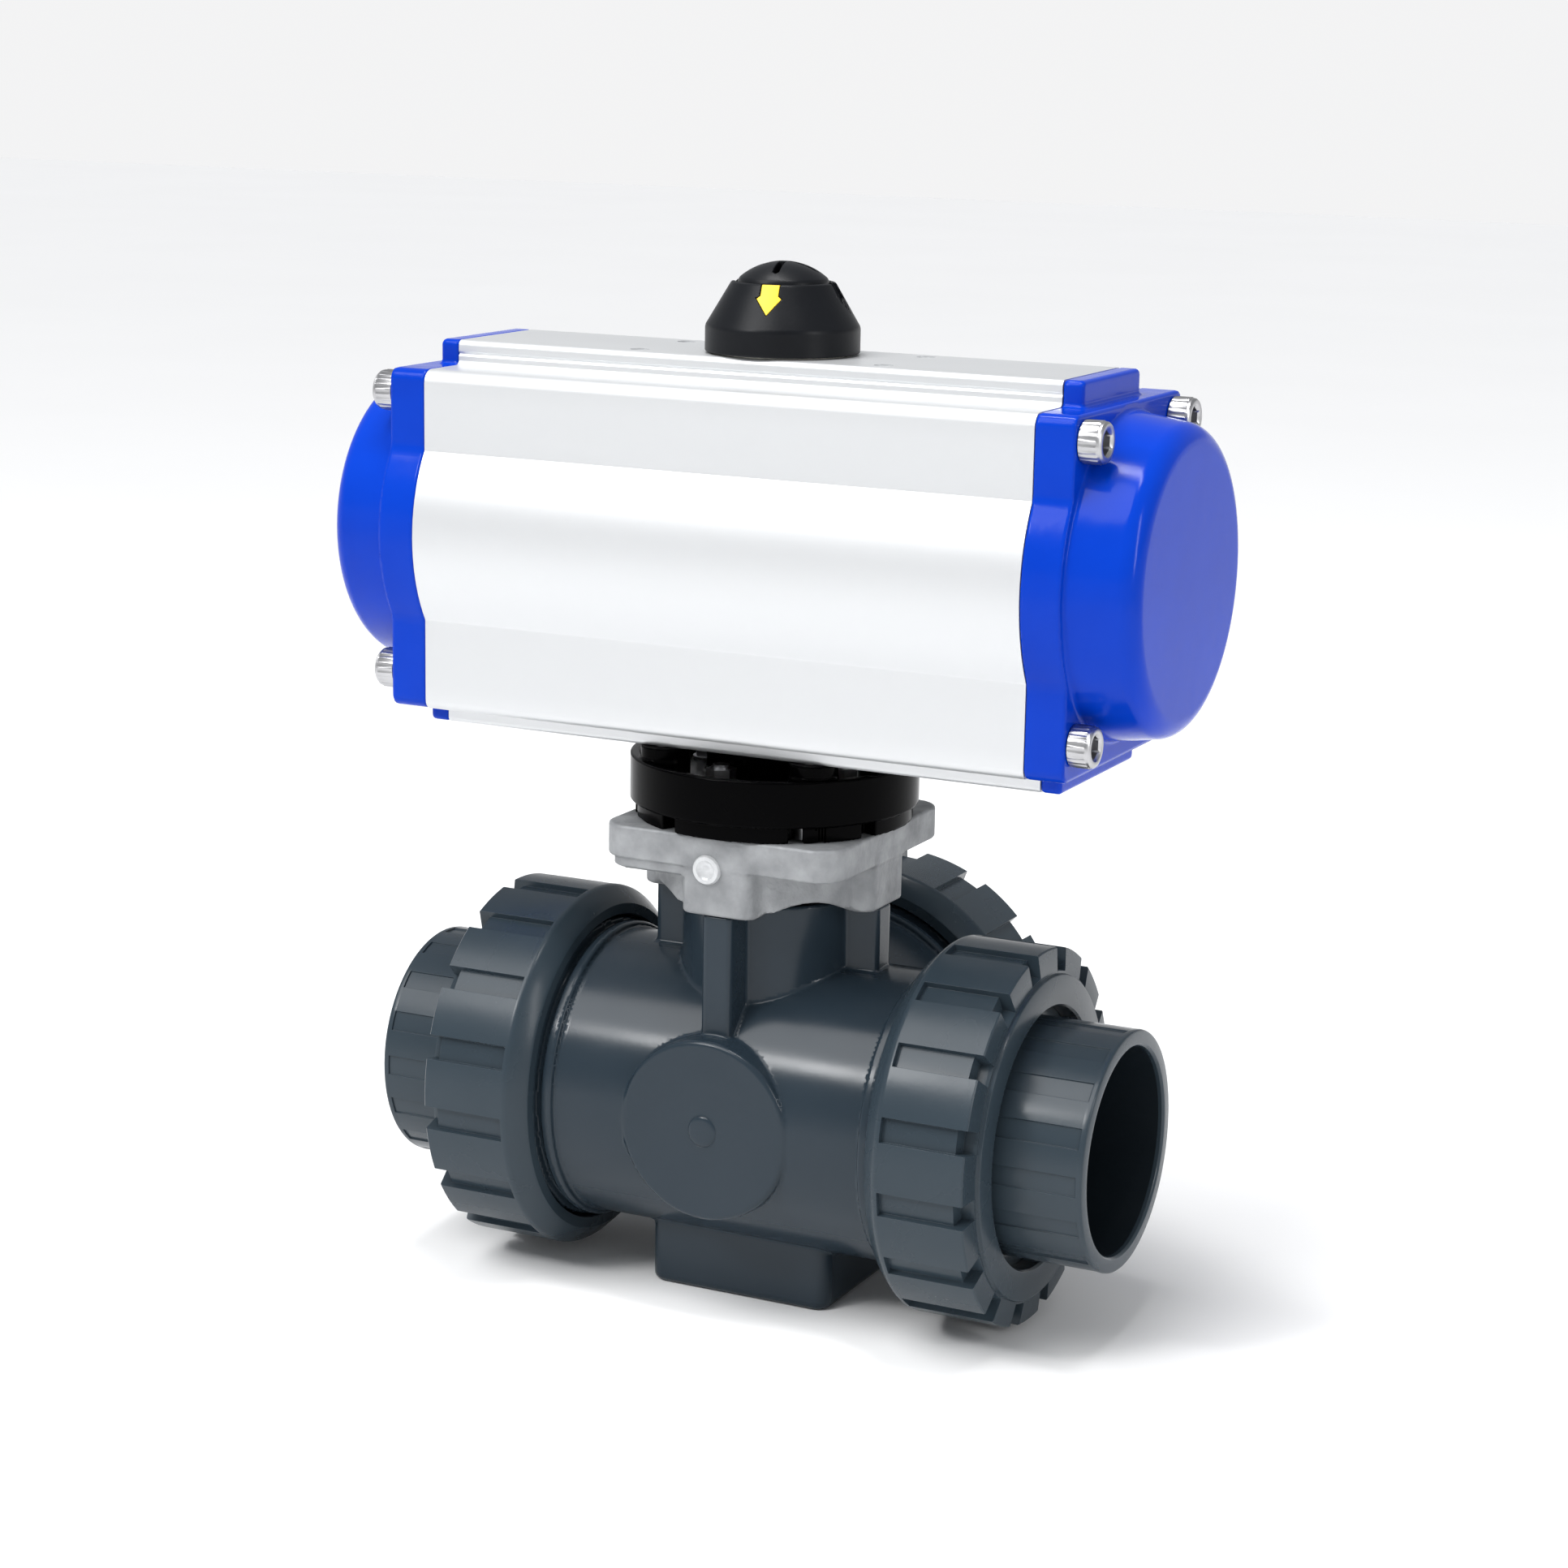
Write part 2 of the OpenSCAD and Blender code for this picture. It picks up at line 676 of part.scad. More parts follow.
module valve_body() {
  color("#3e4b55") difference() {
    union() {
      for (a = [0, 180]) branch(a) valve_neck(run_r);
      branch(90) valve_neck(run_r - 0.2, rear_more);
      // closed front with a round boss and centre pip
      cyl_y(28, -45.5, -20, 0, run_z);
      cyl_y(5.1, -46.1, -40, 0, run_z);
      // neck and screw columns
      cyl_z(neck_r, run_z, neck_z);
      turn4() translate([0, 0, run_z + 20]) linear_extrude(pad_z0 - run_z - 20)
        rrect(20, -5, 38, 5, 1.5);
      // foot block
      linear_extrude(run_z) rrect(-30.5, -21, 30.5, 30, 5);
    }
    // passages
    translate([-81, 0, run_z]) rotate([0, 90, 0]) cylinder(r = run_bore, h = 162, $fn = fn);
    cyl_y(run_bore - 0.1, 0, 81 + rear_more, 0, run_z);
    cyl_y(seat_ro + 0.1, -seat_x1 - 0.1, 0, 0, run_z);
    // stem
    cyl_z(12.06, 80, neck_z + 1);
    cyl_z(15.3, 80, 103);
    turn4() cyl_z(3.05, 107, pad_z0 + 1, col_pr, 0);
    // inserts in the foot
    for (x = [-18, 18]) cyl_z(5.5, -1, 13, x, 4.5);
  }
}

module foot_inserts() {
  color("#b98d3e") for (x = [-18, 18]) difference() {
    cyl_z(5.45, 0.2, 12.5, x, 4.5);
    cyl_z(3.4, -1, 11, x, 4.5);
  }
}

module ball_seat() {
  color("#eceae2") rotate([0, 90, 0]) difference() {
    translate([0, 0, seat_x0]) tube_ring(seat_ri, seat_ro, seat_x1 - seat_x0);
    sphere(ball_r + 0.3, $fn = fn);
  }
}

module seat_carrier(more = 0) {
  color("#3a4650") rotate([0, 90, 0]) difference() {
    union() {
      translate([0, 0, seat_x1 + 0.1]) tube_ring(23, 30.8, 8);
      translate([0, 0, 37.3]) tube_ring(23, 36.9, 32.5 + more);
    }
    // spanner slots
    for (k = [0 : 3]) rotate([0, 0, 45 + 90 * k]) translate([22, -3, 65 + more]) cube([20, 6, 6]);
  }
}

module connector_seal() {
  color("#1a1a1c") rotate([0, 90, 0]) translate([0, 0, 75]) torus(35.32, 1.6);
}

module end_connector() {
  color("#46535d") rotate([0, 90, 0]) difference() {
    union() {
      translate([0, 0, 70.1]) cylinder(r = 36.9, h = 11, $fn = fn);
      translate([0, 0, 80.1]) cylinder(r = 47, h = 5.9, $fn = fn);
      translate([0, 0, 84]) cylinder(r = conn_r, h = face_x - 84.8, $fn = fn);
      translate([0, 0, 84]) cylinder(r = conn_r - 0.8, h = face_x - 84, $fn = fn);
    }
    translate([0, 0, 60]) cylinder(r = 25, h = 60, $fn = fn);
    translate([0, 0, face_x - 38]) cylinder(r = socket_r, h = 40, $fn = fn);
    translate([0, 0, 73]) tube_ring(33.6, 38, 4);
  }
}

module union_nut() {
  color("#3e4b55") difference() {
    lathe_x([[nut_x0, 48.7], [nut_x0, 52.5], [nut_x0 + 5.4, nut_r], [nut_x1 - 2.2, nut_r],
      [nut_x1 - 1.2, 50.4], [nut_x1 - 1.2, 49.7], [nut_x1, 49.5], [nut_x1, conn_r + 3.4],
      [86.1, conn_r + 3.4], [86.1, 47.9], [58.8, 47.9]]);
    for (k = [0 : nut_slots - 1]) rotate([360 / nut_slots * k + 8.5, 0, 0]) {
      translate([63.2, -3.75, nut_r - 1.8]) cube([30, 7.5, 6]);
      translate([87, -3.75, nut_r - 6.8]) cube([30, 7.5, 12]);
    }
  }
}

module valve_ball() {
  color("#4a5761") translate([0, 0, run_z]) difference() {
    sphere(ball_r, $fn = fn);
    sphere(port_r + 2, $fn = fn);
    rotate([0, 90, 0]) cylinder(r = port_r, h = 40, $fn = fn);
    rotate([-90, 0, 0]) cylinder(r = port_r, h = 40, $fn = fn);
    // stem slot
    translate([-40, -4.15, 30]) cube([80, 8.3, 10]);
  }
}

module valve_stem() {
  color("#46535d") difference() {
    union() {
      translate([-12, -4, 91]) cube([24, 8, 9]);
      cyl_z(15, 97.8, 102.8);
      cyl_z(12, 98, 128);
      translate([-7, -7, 127]) cube([14, 14, 20.5]);
    }
    for (z = [108, 117]) translate([0, 0, z]) tube_ring(9.7, 13, 3);
  }
}

module stem_seals() {
  color("#1a1a1c") for (z = [109.5, 118.5]) translate([0, 0, z]) torus(10.87, 1.15);
}

module ball_seat_front() { branch(-90) ball_seat(); }
module ball_seat_rear() { branch(90) ball_seat(); }
module ball_seat_left() { branch(180) ball_seat(); }
module ball_seat_right() { branch(0) ball_seat(); }
module seat_carrier_rear() { branch(90) seat_carrier(rear_more); }
module seat_carrier_left() { branch(180) seat_carrier(); }
module seat_carrier_right() { branch(0) seat_carrier(); }
module connector_seal_rear() { branch(90) translate([rear_more, 0, 0]) connector_seal(); }
module connector_seal_left() { branch(180) connector_seal(); }
module connector_seal_right() { branch(0) connector_seal(); }
module end_connector_rear() { branch(90) translate([rear_more, 0, 0]) end_connector(); }
module end_connector_left() { branch(180) end_connector(); }
module end_connector_right() { branch(0) end_connector(); }
module union_nut_rear() { branch(90) translate([rear_more, 0, 0]) union_nut(); }
module union_nut_left() { branch(180) union_nut(); }
module union_nut_right() { branch(0) union_nut(); }

// ---------- drawing ----------

actuator_body();
end_cap_left();
end_cap_right();
cap_screws_left();
cap_screws_right();
cap_seal_left();
cap_seal_right();
pinion_bearing_top();
pinion_bearing_bottom();
stop_bolts();
stop_nuts();
adaptor_disc();
flange_screws();
disc_studs();
disc_nuts();
mounting_bracket();
bracket_screws();
valve_body();
foot_inserts();
ball_seat_front();
ball_seat_rear();
ball_seat_left();
ball_seat_right();
seat_carrier_rear();
seat_carrier_left();
seat_carrier_right();
connector_seal_rear();
connector_seal_left();
connector_seal_right();
end_connector_rear();
end_connector_left();
end_connector_right();
union_nut_rear();
union_nut_left();
union_nut_right();
pinion();
stop_cam();
pinion_seal_top();
pinion_seal_bottom();
thrust_washer();
snap_ring();
indicator_cone();
indicator_lid();
indicator_arrow();
indicator_screw();
drive_coupling();
valve_stem();
stem_seals();
valve_ball();
piston_left();
piston_right();
piston_seal_left();
piston_seal_right();
guide_band_left();
guide_band_right();
guide_pad_left();
guide_pad_right();
spring_left();
spring_right();
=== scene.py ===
"""Looks of the actuated three-way valve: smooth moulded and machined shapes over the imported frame."""
import json
import math

import bmesh
import bpy
import numpy as np
from mathutils import Matrix, Vector


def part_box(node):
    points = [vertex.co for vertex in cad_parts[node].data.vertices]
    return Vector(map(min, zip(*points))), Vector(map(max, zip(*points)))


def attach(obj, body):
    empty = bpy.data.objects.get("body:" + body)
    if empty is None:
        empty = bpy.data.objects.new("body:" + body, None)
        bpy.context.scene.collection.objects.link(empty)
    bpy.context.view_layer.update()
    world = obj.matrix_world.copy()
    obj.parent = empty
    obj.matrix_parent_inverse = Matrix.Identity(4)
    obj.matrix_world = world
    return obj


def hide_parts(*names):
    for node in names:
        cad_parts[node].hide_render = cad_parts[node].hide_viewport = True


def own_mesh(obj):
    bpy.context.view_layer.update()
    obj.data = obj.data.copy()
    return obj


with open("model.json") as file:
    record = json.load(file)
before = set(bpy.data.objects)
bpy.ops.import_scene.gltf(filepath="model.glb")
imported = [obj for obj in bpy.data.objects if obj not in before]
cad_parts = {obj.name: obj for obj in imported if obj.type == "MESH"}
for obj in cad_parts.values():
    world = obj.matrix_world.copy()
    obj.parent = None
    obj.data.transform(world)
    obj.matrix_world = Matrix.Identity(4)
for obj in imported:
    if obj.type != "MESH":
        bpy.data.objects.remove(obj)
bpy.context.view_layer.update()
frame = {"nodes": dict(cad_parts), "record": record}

MM = 0.001


def mm_box(node):
    """Lowest and highest corner of a CAD node in millimetres."""
    lo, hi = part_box(node)
    return [c / MM for c in lo], [c / MM for c in hi]


# ---------------------------------------------------------------- driving sizes, in mm
(_, _, BODY_Z0), (BODY_X, BAND_Y, BODY_Z1) = mm_box("actuator_body")
BORE_Z = BODY_Z0 + 59.5
BORE_R = 46.0
DIAGONALS = [math.pi / 4 + k * math.pi / 2 for k in range(4)]
SIDE_Y = 42.3  # flat sides of the body
BULGE_R = 49.5
FLAT_Z0, FLAT_Z1 = 178.85, 282.3
TOP_RAIL, BOTTOM_RAIL = 22.5, 29.0  # half widths
BAND_HALF = 24.0  # half height of the air-port band
CAP_X = BODY_X + 12.2
DOME_X = mm_box("end_cap_right")[1][0]
DOME_R, DOME_DRAFT, DOME_EDGE = 47.6, 3.0, 5.6  # foot radius, taper and edge radius
HOLLOW_R, HOLLOW_DEEP = 39.0, 26.6  # inside of a cap, measured from the body's end
SCREW_Y, SCREW_Z = 35.5, (BORE_Z + 42.5, BORE_Z - 43.0)
HEAD_R, HEAD_H, KEY, KEY_DEPTH = 6.2, 7.0, 6.4, 4.6  # cap screw head and its hexagon socket
STOP_X, STOP_Z = 20.0, 261.5
RUN_Z = 60.5
RUN_R = 45.0
RUN_BORE = 37.1
BRANCH = 57.5  # length of a branch up to its thread
COLLAR_R, THREAD_R = 46.9, 47.6
BOSS_R, BOSS_Y = 28.0, -45.25  # round boss and its flat front
NECK_R, NECK_Z = 27.5, 127.0
PLATE_Z0, PLATE_Z1, PLATE_S = 139.8, 149.9, 39.5
LEG_Z0 = 125.5
COLUMN_R = 33.7
NUT_X0, NUT_X1, NUT_R = 56.6, 92.2, 57.5
REAR_MORE = 8.0  # the rear branch is this much longer
NUT_TURN = {"right": 8.6, "rear": 5.0, "left": 15.95}  # where each nut came to rest when tightened
FACE_X = mm_box("end_connector_right")[1][0]
BARREL_R, SOCKET_R, SOCKET_DEEP = 36.5, 31.5, 38.0
DISC_R = 44.1
DISC_Z0, DISC_Z1 = 156.0, 168.8
HUB_R = 20.9
FLANGE_R = 35.0  # pitch radius of the flange screws
IND_R, IND_R2 = 23.1, 15.4
IND_TURN = math.radians(12)
IND_Z0, IND_Z1, IND_Z2 = BODY_Z1 + 0.5, 297.9, 311.0


# ---------------------------------------------------------------- distance functions (numpy, mm)
def norm(*parts):
    return np.sqrt(sum(p * p for p in parts))


def join(a, b, r=0.0):
    """Union of two solids with a concave fillet of radius r."""
    if r <= 0:
        return np.minimum(a, b)
    return np.maximum(r, np.minimum(a, b)) - norm(np.maximum(r - a, 0), np.maximum(r - b, 0))


def meet(a, b, r=0.0):
    """Intersection of two solids with a rounded edge of radius r."""
    return -join(-a, -b, r)


def cut(a, b, r=0.0):
    return meet(a, -b, r)


def box2(u, v, cu, cv, hu, hv, r=0.0):
    """Rectangle centred on cu, cv with half sizes hu, hv and corner radius r."""
    a, b = np.abs(u - cu) - hu + r, np.abs(v - cv) - hv + r
    return np.minimum(np.maximum(a, b), 0) + norm(np.maximum(a, 0), np.maximum(b, 0)) - r


def span(w, lo, hi):
    """Slab between lo and hi."""
    return np.abs(w - (lo + hi) / 2) - (hi - lo) / 2


def rod(u, v, w, cu, cv, radius, lo, hi, r=0.0):
    """Cylinder along w with rounded ends."""
    return meet(norm(u - cu, v - cv) - radius, span(w, lo, hi), r)


def surface_net(f, lo, hi, step):
    """Even quad mesh of the surface where f is 0, with true normals."""
    lo = np.array(lo, float)
    axes = [np.arange(a, b + step, step) for a, b in zip(lo, hi)]
    d = f(*np.meshgrid(*axes, indexing="ij"))
    inside = d < 0
    count = sum(
        inside[i : i + d.shape[0] - 1, j : j + d.shape[1] - 1, k : k + d.shape[2] - 1].astype(np.int8)
        for i in (0, 1) for j in (0, 1) for k in (0, 1)
    )
    cells = np.argwhere((count > 0) & (count < 8))
    index = np.full(count.shape, -1)
    index[tuple(cells.T)] = np.arange(len(cells))
    total, hits = np.zeros((len(cells), 3)), np.zeros(len(cells))
    corners = [(i, j, k) for i in (0, 1) for j in (0, 1) for k in (0, 1)]
    for a in corners:
        for axis in range(3):
            if a[axis]:
                continue
            b = [a[n] + (n == axis) for n in range(3)]
            da, db = d[tuple((cells + a).T)], d[tuple((cells + b).T)]
            m = (da < 0) != (db < 0)
            t = np.where(m, da / np.where(m, da - db, 1), 0)
            point = np.array(a, float) + t[:, None] * (np.array(b) - a)
            total[m] += point[m]
            hits[m] += 1
    verts = lo + step * (cells + total / hits[:, None])
    quads = []
    for axis in range(3):
        u, v = (axis + 1) % 3, (axis + 2) % 3
        first = np.take(inside, range(d.shape[axis] - 1), axis)
        second = np.take(inside, range(1, d.shape[axis]), axis)
        at = np.argwhere(first != second)
        at = at[(at[:, u] > 0) & (at[:, v] > 0)]
        at = at[(at[:, u] < d.shape[u] - 1) & (at[:, v] < d.shape[v] - 1)]
        out = first[tuple(at.T)]
        eu, ev = np.eye(3, dtype=int)[u], np.eye(3, dtype=int)[v]
        ring = [index[tuple((at - s).T)] for s in (eu + ev, ev, 0 * eu, eu)]
        q = np.stack(ring, 1)
        quads.append(np.where(out[:, None], q, q[:, ::-1]))
    quads = np.concatenate(quads)

    def slope(p, e=0.04):
        return np.stack(
            [(f(*(p + e * n).T) - f(*(p - e * n).T)) / (2 * e) for n in np.eye(3)], 1
        )

    edges = np.concatenate([quads[:, [i, (i + 1) % 4]] for i in range(4)])
    degree = np.bincount(edges.ravel(), minlength=len(verts))[:, None]
    for turn in range(4):
        if turn < 3:  # slide the vertices apart evenly before settling them back on the surface
            mean = np.zeros_like(verts)
            for c in range(3):
                mean[:, c] = np.bincount(edges[:, 0], verts[edges[:, 1], c], len(verts)) + np.bincount(
                    edges[:, 1], verts[edges[:, 0], c], len(verts))
            verts = 0.5 * verts + 0.5 * mean / degree
        for _ in range(2):
            g = slope(verts)
            off = np.clip(f(*verts.T), -step, step)[:, None]
            verts = verts - off * g / np.maximum((g * g).sum(1), 0.2)[:, None]
    g = slope(verts)
    return verts, quads, g / np.maximum(norm(*g.T), 1e-6)[:, None]


# ---------------------------------------------------------------- mesh helpers
def add(name, mesh, material, body="housing", stands_for=()):
    obj = bpy.data.objects.new(name, mesh)
    bpy.context.scene.collection.objects.link(obj)
    mesh.materials.append(material)
    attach(obj, body)
    if stands_for:
        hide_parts(*stands_for)
    return obj


def net_mesh(name, f, lo, hi, step):
    verts, quads, normals = surface_net(f, lo, hi, step)
    mesh = bpy.data.meshes.new(name)
    mesh.from_pydata((verts * MM).tolist(), [], quads.tolist())
    mesh.shade_smooth()
    mesh.normals_split_custom_set_from_vertices(normals.tolist())
    return mesh


def turned_mesh(mesh, name, matrix):
    """A copy of a mesh under a rotation or mirror, with its normals carried along."""
    copy = mesh.copy()
    copy.name = name
    normals = [Vector(n.vector) for n in mesh.corner_normals]
    linear = matrix.to_3x3()
    flip = linear.determinant() < 0
    copy.transform(matrix)
    if flip:
        copy.flip_normals()
        starts = [(p.loop_start, p.loop_total) for p in mesh.polygons]
        reordered = []
        for s, n in starts:  # flip_normals keeps the first corner and reverses the rest
            reordered += [normals[s]] + [normals[s + n - k] for k in range(1, n)]
        normals = reordered
    copy.normals_split_custom_set([(linear @ n).normalized() for n in normals])
    return copy


def loft(name, rings, closed=False, ends=True, angle=35):
    """Surface through rings of equal numbers of points (mm)."""
    n = len(rings[0])
    verts = [(x * MM, y * MM, z * MM) for ring in rings for x, y, z in ring]
    faces = []
    last = len(rings) if closed else len(rings) - 1
    for i in range(last):
        a, b = i * n, (i + 1) % len(rings) * n
        faces += [(a + j, a + (j + 1) % n, b + (j + 1) % n, b + j) for j in range(n)]
    if ends and not closed:
        faces += [tuple(range(n - 1, -1, -1)), tuple((len(rings) - 1) * n + j for j in range(n))]
    mesh = bpy.data.meshes.new(name)
    mesh.from_pydata(verts, [], faces)
    mesh.shade_smooth()
    mesh.set_sharp_from_angle(angle=math.radians(angle))
    return mesh


def ring(radius, w, n=96, axis="z", centre=(0, 0, 0)):
    """Ring of points about an axis; radius is a number or a function of the angle."""
    points = []
    for k in range(n):
        a = 2 * math.pi * k / n
        r = radius(a) if callable(radius) else radius
        u, v = r * math.cos(a), r * math.sin(a)
        p = {"z": (u, v, w), "x": (w, u, v), "y": (v, w, u)}[axis]
        points.append(tuple(p[i] + centre[i] for i in range(3)))
    return points


def hexagon(across, corner_round=0.0):
    """Polar radius of a hexagon across flats."""

    def radius(a):
        b = (a + math.pi / 6) % (math.pi / 3) - math.pi / 6
        return min(across / 2 / math.cos(b), across / 2 / math.cos(math.pi / 6) - corner_round)

    return radius


def bevelled(obj, width, segments=2, angle=30):
    m = obj.modifiers.new("Bevel", "BEVEL")
    m.width = width * MM
    m.segments = segments
    m.limit_method = "ANGLE"
    m.angle_limit = math.radians(angle)
    m.harden_normals = True
    return obj


def carve(obj, *cutters):
    """Cuts closed meshes out of obj and keeps only the result."""
    for mesh in cutters:
        tool = bpy.data.objects.new("cutter", mesh)
        bpy.context.scene.collection.objects.link(tool)
        m = obj.modifiers.new("Cut", "BOOLEAN")
        m.operation = "DIFFERENCE"
        m.solver = "EXACT"
        m.object = tool
        dg = bpy.context.evaluated_depsgraph_get()
        result = bpy.data.meshes.new_from_object(obj.evaluated_get(dg))
        obj.modifiers.remove(m)
        old, obj.data = obj.data, result
        bpy.data.meshes.remove(old)
        bpy.data.objects.remove(tool)
    return obj


def plug(radius, lo, hi, axis, centre, n=48, tip=0.0):
    """Closed cylinder used as a cutter, with an optional drill tip at its low end."""
    rings = [ring(0.05, lo - tip, n, axis, centre)] if tip else []
    rings += [ring(radius, lo, n, axis, centre), ring(radius, hi, n, axis, centre)]
    return loft("cutter", rings)


# ---------------------------------------------------------------- materials
def nodes_of(name):
    mat = bpy.data.materials.new(name)
    mat.use_nodes = True
    tree = mat.node_tree
    shader = tree.nodes["Principled BSDF"]
    where = tree.nodes.new("ShaderNodeTexCoord")
    return mat, tree, shader, where


def noise(tree, where, scale, detail=3.0, stretch=(1, 1, 1), rough=0.5):
    mapping = tree.nodes.new("ShaderNodeMapping")
    mapping.inputs["Scale"].default_value = stretch
    tree.links.new(where.outputs["Object"], mapping.inputs["Vector"])
    tex = tree.nodes.new("ShaderNodeTexNoise")
    tex.inputs["Scale"].default_value = scale
    tex.inputs["Detail"].default_value = detail
    tex.inputs["Roughness"].default_value = rough
    tree.links.new(mapping.outputs["Vector"], tex.inputs["Vector"])
    return tex.outputs["Fac"]


def ramp(tree, value, stops):
    node = tree.nodes.new("ShaderNodeValToRGB")
    while len(node.color_ramp.elements) < len(stops):
        node.color_ramp.elements.new(0.5)
    for element, (at, colour) in zip(node.color_ramp.elements, stops):
        element.position = at
        element.color = (*colour, 1)
    tree.links.new(value, node.inputs["Fac"])
    return node.outputs["Color"]


def spread(tree, value, lo, hi):
    node = tree.nodes.new("ShaderNodeMapRange")
    node.inputs["From Min"].default_value = 0.15
    node.inputs["From Max"].default_value = 0.85
    node.inputs["To Min"].default_value = lo
    node.inputs["To Max"].default_value = hi
    tree.links.new(value, node.inputs["Value"])
    return node.outputs["Result"]


def bump(tree, value, strength, distance, under=None):
    node = tree.nodes.new("ShaderNodeBump")
    node.inputs["Strength"].default_value = strength
    node.inputs["Distance"].default_value = distance
    tree.links.new(value, node.inputs["Height"])
    if under is not None:
        tree.links.new(under, node.inputs["Normal"])
    return node.outputs["Normal"]


def shade(lo, hi):
    """Stops between two nearby colours."""
    return [(0.2, lo), (0.8, hi)]


def surface(name, lo, hi, rough, metal=0.0, coarse=40.0, fine=900.0, relief=0.1, depth=0.0002,
            stretch=(1, 1, 1), specular=0.5):
    """A finish whose colour drifts between lo and hi, with its own roughness range and grain."""
    mat, tree, shader, where = nodes_of(name)
    tone = noise(tree, where, coarse, 4.0, stretch)
    tree.links.new(ramp(tree, tone, shade(lo, hi)), shader.inputs["Base Color"])
    sheen = spread(tree, noise(tree, where, coarse * 2.3, 5.0, stretch), *rough)
    tree.links.new(sheen, shader.inputs["Roughness"])
    grain = noise(tree, where, fine, 2.0, stretch)
    tree.links.new(bump(tree, grain, relief, depth), shader.inputs["Normal"])
    shader.inputs["Metallic"].default_value = metal
    shader.inputs["Specular IOR Level"].default_value = specular
    return mat


ANODISED = surface("anodised_body", (0.60, 0.61, 0.62), (0.65, 0.66, 0.668), (0.34, 0.44), metal=0.55,
                   coarse=14, fine=420, relief=0.08, depth=0.0001, stretch=(0.05, 1, 1))
BLUE = surface("blue_paint", (0.0006, 0.033, 0.39), (0.0012, 0.043, 0.47), (0.12, 0.18), coarse=25, fine=170,
               relief=0.10, depth=0.0006, specular=0.11)
STAINLESS = surface("stainless", (0.40, 0.40, 0.41), (0.50, 0.50, 0.51), (0.26, 0.40), metal=1.0, coarse=120,
                    fine=1500, relief=0.15, depth=0.0001)
CAST = surface("cast_aluminium", (0.16, 0.167, 0.175), (0.35, 0.36, 0.37), (0.42, 0.62), metal=0.15,
               coarse=120, fine=520, relief=0.5, depth=0.0006, specular=0.4)
PVC = surface("pvc", (0.016, 0.026, 0.036), (0.022, 0.033, 0.044), (0.16, 0.26), coarse=16, fine=600,
              relief=0.05, depth=0.0002, specular=0.24)
PVC_NUT = surface("pvc_nut", (0.024, 0.036, 0.047), (0.031, 0.045, 0.057), (0.20, 0.32), coarse=18, fine=600,
                  relief=0.06, depth=0.0002, specular=0.24)
PVC_SOCKET = surface("pvc_socket", (0.026, 0.038, 0.049), (0.033, 0.047, 0.059), (0.18, 0.28), coarse=18,
                     fine=600, relief=0.06, depth=0.0002, specular=0.24)
# painted shade: darker than the outside of a socket, so that its mouth reads as unlit
PVC_BORE_PAINTED_SHADE = surface("pvc_bore_painted_shade", (0.006, 0.009, 0.012), (0.009, 0.013, 0.017), (0.4, 0.5), coarse=30, fine=700,
                   relief=0.05, depth=0.0002, specular=0.1)
PVC_INNER = surface("pvc_inner", (0.016, 0.025, 0.034), (0.024, 0.034, 0.045), (0.25, 0.35), coarse=30,
                    fine=700, relief=0.05, depth=0.0002, specular=0.3)
BLACK_GLOSS = surface("black_enamel", (0.0004, 0.0004, 0.0005), (0.0008, 0.0008, 0.001), (0.14, 0.22),
                      coarse=30, fine=300, relief=0.06, depth=0.0003, specular=0.025)
BLACK_SATIN = surface("black_plastic", (0.0035, 0.004, 0.0055), (0.006, 0.007, 0.009), (0.32, 0.42),
                      coarse=60, fine=900, relief=0.10, depth=0.0002, specular=0.16)
BLACK_SCREW = surface("black_screw", (0.012, 0.012, 0.013), (0.020, 0.020, 0.021), (0.35, 0.5), metal=0.6)
YELLOW = surface("yellow_plastic", (0.86, 0.58, 0.03), (0.92, 0.64, 0.05), (0.35, 0.45), coarse=80, fine=900,
                 relief=0.05, specular=0.3)
RUBBER = surface("rubber", (0.012, 0.012, 0.012), (0.020, 0.020, 0.020), (0.55, 0.7), coarse=60, fine=1200,
                 relief=0.2)
ACETAL = surface("acetal", (0.62, 0.60, 0.53), (0.72, 0.70, 0.63), (0.35, 0.5), coarse=60, fine=900)
PTFE = surface("ptfe", (0.70, 0.69, 0.65), (0.80, 0.79, 0.75), (0.4, 0.55), coarse=60, fine=900)
BRASS = surface("brass", (0.52, 0.36, 0.13), (0.64, 0.47, 0.20), (0.22, 0.36), metal=1.0, coarse=90,
                fine=1400)
PLATED = surface("plated_steel", (0.42, 0.43, 0.44), (0.52, 0.53, 0.54), (0.22, 0.34), metal=1.0, coarse=80,
                 fine=1400)
SPRING = surface("spring_steel", (0.16, 0.165, 0.17), (0.24, 0.245, 0.25), (0.28, 0.42), metal=1.0, coarse=90,
                 fine=1200)
PISTON = surface("piston_cast", (0.52, 0.53, 0.55), (0.62, 0.63, 0.65), (0.35, 0.5), metal=0.9, coarse=50,
                 fine=600, relief=0.2)
BY_SLOT = {
    "anodised_body": ANODISED, "blue_paint": BLUE, "stainless": STAINLESS, "cast_aluminium": CAST, "pvc": PVC,
    "pvc_nut": PVC_NUT, "pvc_socket": PVC_SOCKET, "pvc_inner": PVC_INNER, "black_enamel": BLACK_GLOSS,
    "black_plastic": BLACK_SATIN, "black_screw": BLACK_SCREW, "yellow_plastic": YELLOW, "rubber": RUBBER,
    "acetal": ACETAL, "ptfe": PTFE, "brass": BRASS, "plated_steel": PLATED, "spring_steel": SPRING,
    "piston_cast": PISTON,
}
for part in frame["record"]["subparts"]:
    node = frame["nodes"][part["node"]]
    for slot in node.material_slots:
        slot.material = BY_SLOT[part["material_slot"]]


